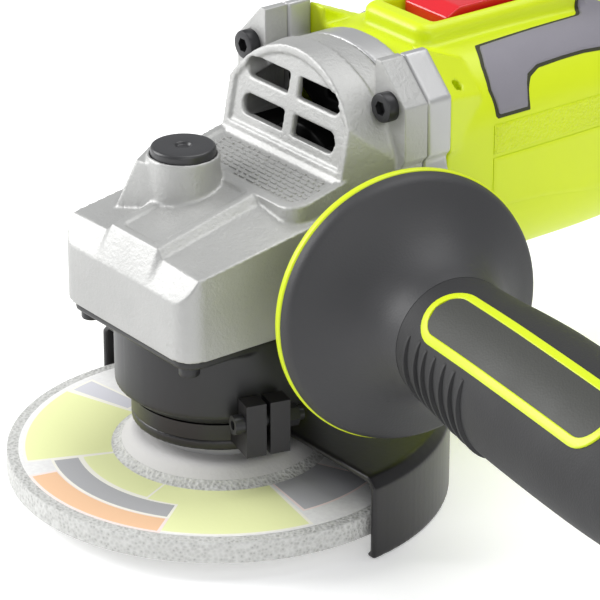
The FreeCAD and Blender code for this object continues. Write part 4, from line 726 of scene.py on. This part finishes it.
@dataclass
class DiscSet:
    """The grinding disc with its label."""

    radius: float = 62.5
    low: float = -0.6
    high: float = 6.0

    def build(self) -> None:
        """Make the disc and its label."""
        profile = fillet([
            (11.115, 7.0, 0), (21.5, 7.0, 1.5), (27.5, self.low, 1.5), (self.radius, self.low, 0.5),
            (self.radius, self.high, 0.5), (31.0, self.high, 2.5), (25.5, 11.5, 2.0), (11.115, 11.5, 0)])
        disc = lathe("grinding_disc_fine", profile, "abrasive", Matrix.Identity(4), 192)
        dress(disc, "abrasive", self.abrasive())
        put(disc, "spindle_set", "grinding_disc")
        label = lathe("disc_label_fine", [
            (31.4, self.high), (59.0, self.high), (59.0, self.high + 0.12), (58.7, self.high + 0.2),
            (31.7, self.high + 0.2), (31.4, self.high + 0.12)], "label_paper", Matrix.Identity(4), 192)
        dress(label, "label_paper", self.paper())
        put(label, "spindle_set", "disc_label")

    def abrasive(self) -> bpy.types.Material:
        """Pale bonded grit with darker grains and a coarse relief."""
        board = Board("bonded_grit")
        grit = board.cells(900.0)
        colour = board.ramp(grit, [(0.0, (0.30, 0.30, 0.29)), (0.25, (0.50, 0.50, 0.48)),
                                   (0.8, (0.62, 0.62, 0.60))])
        radius, _ = self.polar(board)
        outside = board.math("GREATER_THAN", radius, 29.0)
        inside = board.math("LESS_THAN", radius, 12.0)
        rough = board.math("MAXIMUM", outside, inside)
        board.join(board.mix(rough, (0.62, 0.61, 0.60), colour), board.shader.inputs["Base Color"])
        board.shader.inputs["Roughness"].default_value = 0.85
        relief = board.math("ADD", grit, board.noise(500.0, 4.0))
        board.bump(board.math("MULTIPLY", relief, board.math("MAXIMUM", rough, 0.12)), 0.35)
        return board.material

    def polar(self, board: Board) -> tuple[bpy.types.NodeSocket, bpy.types.NodeSocket]:
        """Radius in millimetres and turn from 0 to 1 about the spindle."""
        split = board.node("ShaderNodeSeparateXYZ")
        board.join(board.place, split.inputs[0])
        x, y = split.outputs[0], split.outputs[1]
        square = board.math("ADD", board.math("MULTIPLY", x, x), board.math("MULTIPLY", y, y))
        radius = board.math("MULTIPLY", board.math("SQRT", square), 1000.0)
        turn = board.math("DIVIDE", board.math("ARCTAN2", y, x), 2 * math.pi)
        return radius, board.math("FRACT", turn)

    def patch(self, board: Board, where: tuple[bpy.types.NodeSocket, bpy.types.NodeSocket],
              radii: tuple[float, float], degrees: tuple[float, float]) -> bpy.types.NodeSocket:
        """A mask of one ring sector, its edge a little soft.

        Args:
            board: the material being made.
            where: radius and turn sockets.
            radii: inner and outer radius, in millimetres.
            degrees: first and last angle from +X.

        Returns:
            A socket that is 1 inside the sector.
        """
        radius, turn = where
        middle, reach = sum(degrees) / 720.0, (degrees[1] - degrees[0]) / 720.0
        shifted = board.math("FRACT", board.math("ADD", turn, 1.5 - middle))
        aside = board.math("ABSOLUTE", board.math("SUBTRACT", shifted, 0.5))
        around = board.math("LESS_THAN", aside, reach)
        centre, half = sum(radii) / 2, (radii[1] - radii[0]) / 2
        across = board.math("LESS_THAN", board.math("ABSOLUTE", board.math("SUBTRACT", radius, centre)), half)
        return board.math("MULTIPLY", around, across)

    def paper(self) -> bpy.types.Material:
        """Pale printed paper: soft coloured sectors with fine pale outlines."""
        board = Board("printed_paper")
        where = self.polar(board)
        weave = board.noise(700.0, 2.0)
        tinted = board.ramp(weave, [(0.3, (0.80, 0.79, 0.78)), (0.7, (0.86, 0.86, 0.84))])
        for radii, degrees, colour, edge in PRINTS:
            rim = self.patch(board, where, (radii[0] - 0.8, radii[1] + 0.8), (degrees[0] - 1, degrees[1] + 1))
            tinted = board.mix(rim, tinted, edge)
            tinted = board.mix(self.patch(board, where, radii, degrees), tinted, colour)
        board.join(tinted, board.shader.inputs["Base Color"])
        board.shader.inputs["Roughness"].default_value = 0.62
        board.bump(weave, 0.03)
        return board.material


@dataclass
class SideHandle:
    """Hand guard, rim, ribbed rubber grip, coloured ring and inlay, on a canted axis."""

    rim_radius: float = 39.4
    grip_start: float = 38.0
    grip_end: float = 158.0
    ring_start: float = 45.0
    ring_end: float = 139.0
    ring_half: float = 9.3
    ring_width: float = 2.7
    facing: float = 54.0
    rib_facing: float = -14.0
    place: Matrix = field(default_factory=handle_place)

    def barrel(self, along: float) -> float:
        """The grip's radius at a distance along its axis, in millimetres."""
        stations = [(38.0, 17.9), (55.0, 18.7), (68.0, 19.6), (85.0, 20.3), (125.0, 20.3), (158.0, 19.0)]
        count = len(stations)
        for k in range(count - 1):
            (a, ra), (b, rb) = stations[k], stations[k + 1]
            if along <= b or k == count - 2:
                before, after = stations[max(0, k - 1)], stations[min(count - 1, k + 2)]
                span = b - a
                lean = (rb - before[1]) / (b - before[0]) * span if k else (rb - ra)
                rise = (after[1] - ra) / (after[0] - a) * span if k < count - 2 else (rb - ra)
                s = min(1.0, max(0.0, (along - a) / span))
                return ((2 * s ** 3 - 3 * s ** 2 + 1) * ra + (s ** 3 - 2 * s ** 2 + s) * lean
                        + (3 * s ** 2 - 2 * s ** 3) * rb + (s ** 3 - s ** 2) * rise)
        return stations[-1][1]

    def build(self) -> None:
        """Make every piece of the handle."""
        place = self.place
        shield = fillet([
            (3.95, 0.0, 0), (13.0, 0.0, 1.0), (13.0, 5.0, 1.0), (26.9, 7.0, 0), (26.9, 10.0, 0),
            (39.0, 10.0, 0.3), (38.2, 13.2, 2.2), (30.0, 18.0, 5.0), (23.5, 24.0, 6.0), (19.5, 31.0, 6.0),
            (18.0, 38.0, 0), (3.95, 38.0, 0)], 9)
        guard = lathe("hand_guard_fine", shield, "grey_rubber", place, 160)
        dress(guard, "grey_rubber", GUARD_RUBBER.build())
        guard.data.shade_smooth()
        put(guard, "housing", "hand_guard")
        rim = fillet([(27.0, 7.0, 0), (self.rim_radius, 7.0, 1.4), (self.rim_radius, 10.0, 0.8),
                      (27.0, 10.0, 0)])
        put(lathe("hand_guard_rim_fine", rim, "lime_plastic", place, 160), "housing", "hand_guard_rim")
        start, end = self.grip_start, self.grip_end
        outer = [(self.barrel(start + i * (end - start) / 80), start + i * (end - start) / 80)
                 for i in range(81)]
        grip = lathe("handle_grip_fine", [(14.0, start)] + outer + [(14.0, end)], "grey_rubber", place, 160)
        put(grip, "housing", "handle_grip")
        cap = fillet([(0.01, end, 0), (18.9, end, 0.3), (18.7, end + 3.5, 2.5), (13.5, end + 7.0, 4.0),
                      (0.01, end + 7.0, 0)])
        put(lathe("handle_end_cap_fine", cap, "grey_rubber", place, 96), "housing", "handle_end_cap")
        self.band("handle_ring_fine", self.ring_half, self.ring_half - self.ring_width, 0.5,
                  "lime_plastic", "handle_ring_inlay")
        self.inlay()
        self.ribs()

    def face_angle(self, degrees: float | None = None) -> float:
        """Angle round the handle's axis, in radians, of what faces up from the front.

        Args:
            degrees: how far up it faces, or None for the ring's middle.
        """
        tilt = math.radians(self.facing if degrees is None else degrees)
        out = Vector((0, -math.cos(tilt), math.sin(tilt)))
        local = self.place.to_3x3().inverted() @ out
        return math.atan2(local.y, local.x)

    def on_barrel(self, along: float, across: float, lift: float) -> Vector:
        """A point on the grip: along its axis, across the ring's middle line, lifted off it."""
        radius = self.barrel(along)
        turn = self.face_angle() + across / radius
        return self.place @ Vector(((radius + lift) * math.cos(turn), (radius + lift) * math.sin(turn), along))

    def band(self, name: str, outer: float, inner: float, lift: float, finish: str,
             node: str) -> None:
        """A stadium ring lying on the grip.

        Args:
            name: the piece's name.
            outer: half its width outside, in millimetres.
            inner: half its width inside.
            lift: how far it stands proud.
            finish: its material slot.
            node: the CAD node it stands for.
        """
        steps = []
        for k in range(40):
            steps.append(self.ring_start + outer + (self.ring_end - self.ring_start - 2 * outer) * k / 39)
        loop = [(along, 1.0, 0.0) for along in steps]
        turns = [math.pi / 2 - math.pi * k / 16 for k in range(1, 16)]
        loop += [(steps[-1], math.sin(t), math.cos(t)) for t in turns]
        loop += [(along, -1.0, 0.0) for along in reversed(steps)]
        loop += [(steps[0], -math.sin(t), -math.cos(t)) for t in turns]
        section = fillet([(outer, -0.7, 0), (outer, lift, 0.4), (inner, lift, 0.4), (inner, -0.7, 0)], 3)
        points, faces = [], []
        count = len(section)
        for along, side, ahead in loop:
            for reach, height in section:
                points.append(self.on_barrel(along + ahead * reach, side * reach, height))
        for i in range(len(loop)):
            j = (i + 1) % len(loop)
            for a in range(count):
                b = (a + 1) % count
                faces.append([i * count + a, i * count + b, j * count + b, j * count + a])
        put(solid(name, points, faces, finish), "housing", node)

    def inlay(self) -> None:
        """The grey tongue inside the ring, set a little below it."""
        half = self.ring_half - self.ring_width
        start, end = self.ring_start + self.ring_width, self.ring_end - self.ring_width
        top, low = [], []
        count = 70
        for i in range(count + 1):
            along = start + (end - start) * i / count
            reach = half
            for centre, sign in ((start + half, -1), (end - half, 1)):
                over = (along - centre) * sign
                if over > 0:
                    reach = math.sqrt(max(0.02, half * half - over * over))
            top.append([self.on_barrel(along, -reach + 2 * reach * k / 12, 0.25) for k in range(13)])
            low.append([self.on_barrel(along, -reach + 2 * reach * k / 12, -0.7) for k in range(13)])
        inlay = slab("handle_inlay", top, low, "grey_rubber")
        dress(inlay, "grey_rubber", material_of(INLAY_RUBBER))
        put(inlay, "housing")

    def ribs(self) -> None:
        """Faint rubber ribs on the lower side of the grip, next to the hand guard."""
        template = solid("rib_template", *self.rib(), "grey_rubber")
        along = self.place.to_3x3() @ Vector((0, 0, 1))
        stops = [44 + 5.6 * k for k in range(7)]
        places = [self.place @ Vector((0, 0, stop)) for stop in stops]
        sizes = [self.barrel(stop) / 18.2 for stop in stops]
        ribs = Repeats("grip_ribs").spread("handle_ribs", template, places, along, "grey_rubber", sizes)
        put(ribs, "housing")

    def rib(self) -> tuple[list[Vector], list[list[int]]]:
        """One low closed arc about the template's +Z, as points and faces."""
        points, faces = [], []
        steps = 40
        middle = self.face_angle(self.rib_facing)
        for i in range(steps + 1):
            fade = math.sin(math.pi * i / steps) ** 0.5
            turn = middle + math.radians(74 * (i / steps - 0.5))
            for r, z in ((17.6, -1.1), (18.35 + 0.85 * fade, -0.5), (18.4 + 0.95 * fade, 0.0),
                         (18.35 + 0.85 * fade, 0.5), (17.6, 1.1)):
                points.append(Vector((r * math.cos(turn), r * math.sin(turn), z)))
        for i in range(steps):
            for a in range(5):
                b = (a + 1) % 5
                faces.append([i * 5 + a, i * 5 + b, i * 5 + 5 + b, i * 5 + 5 + a])
        faces += [[0, 1, 2, 3, 4], [steps * 5 + k for k in (4, 3, 2, 1, 0)]]
        return points, faces


@dataclass
class Head:
    """The cast head, its black neck and bearing bracket, and the lock button."""

    voxel: float = 0.5
    dash_seed: int = 7

    def dashes(self) -> None:
        """Rows of small raised dashes in the panel's field, in place of any lettering."""
        slope = math.atan(0.245)
        normal = Vector((0, -math.sin(slope), math.cos(slope)))
        chance = random.Random(self.dash_seed)
        lengths: dict[float, list[Vector]] = {0.8: [], 1.3: [], 1.9: []}
        for row in range(8):
            y = 8.6 + row * 1.55
            x = -24.0 + chance.random()
            while x < 24.0:
                half = chance.choice(list(lengths))
                crest = 78.5 + 0.245 * (y + 29.0) - 0.6
                if math.hypot(x + 11.1, y + 4.0) > 13.5:
                    lengths[half].append(Vector((x + half, y, crest)))
                x += 2 * half + 0.8
        repeats = Repeats("dash_rows")
        for index, (half, places) in enumerate(lengths.items()):
            corners = [Vector((sx * (half - 0.2 * up), sy * (0.42 - 0.14 * up), -0.3 + 0.62 * up))
                       for up in (0, 1) for sx, sy in ((-1, -1), (1, -1), (1, 1), (-1, 1))]
            faces = [[3, 2, 1, 0], [4, 5, 6, 7]] + [[k, (k + 1) % 4, (k + 1) % 4 + 4, k + 4]
                                                    for k in range(4)]
            template = solid("dash_template", corners, faces, "cast_aluminium")
            put(repeats.spread(f"panel_dashes_{index}", template, places, normal, "cast_aluminium"),
                "housing")

    def build(self) -> None:
        """Make the castings and dress what stays."""
        case = rounded_copy("gear_case", "gear_case_cast", "cast_aluminium", self.voxel, 3, 0.24)
        # Painted shade: boxes inside the casting behind the vent slots, where its colour is painted near black
        # in place of the shadow there.
        vent_shade_boxes = ((Vector((-22, 27.2, 94)), Vector((22, 46, 107))),
                   (Vector((-13, 28.4, 94)), Vector((13, 46, 115))))
        dress(case, "cast_aluminium", FINISHES["cast_aluminium"].build(vent_shade_boxes))
        put(case, "housing", "gear_case")
        cover = rounded_copy("bearing_cover", "bearing_cover_cast", "black_cover", 0.7, 2, 0.35)
        put(cover, "housing", "bearing_cover")
        bracket = rounded_copy("bearing_bracket", "bearing_bracket_cast", "bracket_aluminium", 0.7, 2, 0.35)
        # Painted shade: a box round the bracket's inner part, seen through the vent slots, where its colour is
        # painted near black in place of the shadow there.
        bracket_shade_boxes = ((Vector((-25, 20, 55)), Vector((25, 60, 107))),)
        dress(bracket, "bracket_aluminium", FINISHES["bracket_aluminium"].build(bracket_shade_boxes))
        put(bracket, "housing", "bearing_bracket")
        self.dashes()
        button = fillet([(0.01, 90.5, 0), (9.42, 90.5, 0), (9.42, 96.5, 1.2), (2.6, 96.5, 0.4),
                         (1.9, 95.6, 0.3), (0.01, 95.6, 0)])
        low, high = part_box("lock_button")
        middle = (low + high) / 2 / MM
        place = Matrix.Translation(Vector((middle.x, middle.y, 0)))
        put(lathe("lock_button_fine", button, "button_plastic", place, 64), "lock", "lock_button")


Outline = list[tuple[float, float]]
GRIP_OUTLINE: Outline = [
    (73.4, 30.0), (84.0, 30.0), (84.6, 37.0), (86.6, 42.0), (91.1, 44.6), (101.0, 45.2), (109.3, 45.4),
    (117.0, 44.8), (120.6, 42.0), (122.2, 37.0), (122.8, 30.0), (131.5, 30.0), (132.5, 40.0),
    (132.0, 60.0), (131.0, 74.0), (128.8, 78.5), (124.6, 78.5), (121.6, 72.0), (119.4, 64.0),
    (117.5, 62.2), (110.5, 61.5), (93.7, 60.3), (77.0, 59.0), (73.5, 48.4),
    (72.4, 40.0), (72.6, 32.0)]
SEAM_OUTLINE: Outline = [
    (72.6, 28.6), (85.0, 28.6), (85.6, 36.6), (87.4, 40.6), (91.4, 43.2), (101.0, 43.9), (109.3, 44.1),
    (116.4, 43.5), (119.8, 40.8), (121.3, 36.0), (121.9, 28.6), (132.3, 28.6), (133.4, 40.0),
    (132.9, 60.0), (131.9, 75.0), (129.4, 79.8), (124.0, 79.8), (120.7, 72.5), (118.6, 65.2),
    (117.0, 63.4), (110.5, 62.8), (93.7, 61.6), (76.2, 60.4), (72.6, 49.0),
    (71.5, 40.0), (71.7, 31.0)]
STRIP_OUTLINE: Outline = [(71.2, 14.0), (134.0, 14.0), (134.0, 26.4), (71.2, 26.4)]
FIELD_OUTLINE: Outline = [(71.2, 12.2), (71.2, -11.4), (92.0, -13.5), (114.0, -19.0), (134.0, -22.0),
                          (134.0, 12.2)]


@dataclass
class Housing:
    """Motor housing with soft side panels, blank tab and grained strip, and the slide switch."""

    def build(self) -> None:
        """Make the shell and lay its panels."""
        shell = rounded_copy("motor_housing", "motor_housing_moulded", "lime_plastic", 0.8, 4, 0.42)
        put(shell, "housing", "motor_housing")
        slider = rounded_copy("switch_slider", "switch_slider_moulded", "red_plastic", 0.4, 3, 0.5)
        put(slider, "switch", "switch_slider")
        for side, name in ((1, "left"), (-1, "right")):
            half = rounded_copy(f"rear_cover_{name}", f"rear_cover_{name}_moulded", "lime_plastic",
                                0.8, 4, 0.42)
            put(half, "housing", f"rear_cover_{name}")
        skin = Skin(shell, 81.0)
        for mirrored, side in ((False, "right"), (True, "left")):
            self.panels(skin, mirrored, side)

    def panels(self, skin: "Skin", mirrored: bool, side: str) -> None:
        """Lay one side's soft grip, its dark seam, the grained strip and the plain field.

        Args:
            skin: the shell's surface.
            mirrored: whether the panels go on the -X side.
            side: a word for the pieces' names.
        """
        seam = skin.panel(f"seam_{side}", SEAM_OUTLINE, "grey_rubber", 0.22, 40, mirrored)
        dress(seam, "grey_rubber", material_of(SEAM))
        put(seam, "housing")
        grip = skin.panel(f"side_grip_{side}", GRIP_OUTLINE, "soft_grey", 0.75, 40, mirrored)
        put(grip, "housing", *(("side_grips",) if not mirrored else ()))
        strip = skin.panel(f"grained_strip_{side}", STRIP_OUTLINE, "lime_plastic", 0.4, 20, mirrored)
        dress(strip, "lime_plastic", material_of(GRAINED_LIME))
        put(strip, "housing")
        plain = skin.panel(f"plain_field_{side}", FIELD_OUTLINE, "lime_plastic", 0.4, 24, mirrored)
        put(plain, "housing")


@dataclass
class Guard:
    """Pressed wheel guard with a rolled rim, on its clamp band."""

    radius: float = 66.8
    edge: float = 4.0

    def build(self) -> None:
        """Make the guard."""
        guard = rounded_copy("wheel_guard", "wheel_guard_pressed", "guard_black", 0.62, 3, 0.35)
        put(guard, "guard", "wheel_guard")


@dataclass
class Screws:
    """Cap screws with hex recesses, in their real places."""

    def head(self, radius: float, height: float, recess: float) -> bpy.types.Object:
        """A cap head about the origin, its top at z = 0, facing +Z.

        Args:
            radius: the head's radius, in millimetres.
            height: its height.
            recess: the hex recess's radius.

        Returns:
            The template.
        """
        steps = 48
        rings: list[list[Vector]] = []
        rims = [(radius, -height), (radius, -0.5), (radius - 0.18, -0.15), (radius - 0.5, 0.0)]
        for reach, up in rims:
            rings.append([Vector((reach * math.cos(2 * math.pi * i / steps),
                                  reach * math.sin(2 * math.pi * i / steps), up)) for i in range(steps)])
        for up in (0.0, -height * 0.55):
            line = []
            for i in range(steps):
                turn = 2 * math.pi * i / steps
                within = (turn % (math.pi / 3)) - math.pi / 6
                reach = recess * math.cos(math.pi / 6) / math.cos(within)
                line.append(Vector((reach * math.cos(turn), reach * math.sin(turn), up)))
            rings.append(line)
        points = [point for line in rings for point in line]
        faces = []
        for a in range(len(rings) - 1):
            for i in range(steps):
                j = (i + 1) % steps
                faces.append([a * steps + i, a * steps + j, (a + 1) * steps + j, (a + 1) * steps + i])
        faces.append(list(range(steps))[::-1])
        faces.append(list(range((len(rings) - 1) * steps, len(rings) * steps)))
        return solid("screw_template", points, faces, "black_steel")

    def build(self) -> None:
        """Set the head screws and the cover screws."""
        repeats = Repeats("screws")
        places = [Vector((side * 32.0, 32.6, height)) for side in (-1, 1) for height in (112.0, 56.0)]
        heads = repeats.spread("case_screw_heads", self.head(4.3, 3.4, 2.2), places, Vector((0, -1, 0)),
                               "black_steel")
        put(heads, "housing", "gear_case_screws")
        places = [Vector((side * 24.0, ahead * 28.0, 44.8)) for side in (-1, 1) for ahead in (-1, 1)]
        heads = repeats.spread("cover_screw_heads", self.head(3.0, 2.8, 1.5), places, Vector((0, 0, -1)),
                               "black_steel")
        put(heads, "housing", "cover_screws")


@dataclass
class Studio:
    """Pale floor, soft light and the camera."""

    floor: float = -6.2

    def build(self) -> None:
        """Make the floor, the lights and the camera."""
        mesh = bpy.data.meshes.new("floor")
        size, z = 6.0, self.floor * MM
        mesh.from_pydata([(-size, -size, z), (size, -size, z), (size, size, z), (-size, size, z)], [],
                         [[0, 1, 2, 3]])
        floor = bpy.data.objects.new("floor", mesh)
        bpy.context.scene.collection.objects.link(floor)
        board = Board("pale_floor")
        board.shader.inputs["Base Color"].default_value = (0.90, 0.90, 0.90, 1)
        board.shader.inputs["Roughness"].default_value = 0.8
        board.shader.inputs["Emission Color"].default_value = (1, 1, 1, 1)
        board.shader.inputs["Emission Strength"].default_value = 0.3
        mesh.materials.append(board.material)
        world = bpy.data.worlds.new("studio")
        world.use_nodes = True
        world.node_tree.nodes["Background"].inputs["Color"].default_value = (0.95, 0.97, 1.0, 1)
        world.node_tree.nodes["Background"].inputs["Strength"].default_value = 0.42
        bpy.context.scene.world = world
        bpy.context.scene.view_settings.view_transform = "Standard"
        self.lamp("key", Vector((-700, -560, 520)), 0.6, 9.5)
        self.lamp("fill", Vector((900, -300, 500)), 0.8, 3.4)
        self.lamp("top", Vector((100, 400, 1100)), 0.9, 8.0)
        self.camera()

    def lamp(self, name: str, at: Vector, size: float, power: float) -> None:
        """A square area lamp aimed at the tool.

        Args:
            name: its name.
            at: its place, in millimetres.
            size: its side, in metres.
            power: its power, in watts.
        """
        light = bpy.data.lights.new(name, "AREA")
        light.size = size
        light.energy = power
        lamp = bpy.data.objects.new(name, light)
        lamp.location = at * MM
        lamp.rotation_euler = (Vector((30, 60, 60)) - at).to_track_quat("-Z", "Y").to_euler()
        bpy.context.scene.collection.objects.link(lamp)

    def camera(self) -> None:
        """A long lens from the front right, looking a little down."""
        azimuth, elevation = math.radians(52.5), math.radians(24.5)
        right = Vector((math.cos(azimuth), math.sin(azimuth), 0))
        back = Vector((math.cos(elevation) * math.sin(azimuth), -math.cos(elevation) * math.cos(azimuth),
                       math.sin(elevation)))
        up = back.cross(right)
        lens = bpy.data.cameras.new("camera")
        lens.lens = 204.0
        lens.sensor_width = 36.0
        lens.clip_start = 0.05
        eye = bpy.data.objects.new("camera", lens)
        place = right * 23.1 + up * 41.0 + back * 993.0 + Vector((0, 0, 6))
        turn = Matrix((right, up, back)).transposed().to_4x4()
        eye.matrix_world = Matrix.Translation(place * MM) @ turn
        bpy.context.scene.collection.objects.link(eye)
        bpy.context.scene.camera = eye


def dress_nodes() -> None:
    """Give every CAD node that still shows its slot's material."""
    slots = {part["node"]: part["material_slot"] for part in frame["record"]["subparts"]}
    for name, node in frame["nodes"].items():
        if not node.hide_render:
            dress(node, slots[name])


def main() -> None:
    """Build each sub-assembly in turn."""
    logging.basicConfig(level=logging.INFO, format="%(name)s: %(message)s")
    for part in (Studio(), Head(), Housing(), Guard(), DiscSet(), SideHandle(), Screws()):
        part.build()
    dress_nodes()
    bpy.context.view_layer.update()


if __name__ == "__main__":
    main()
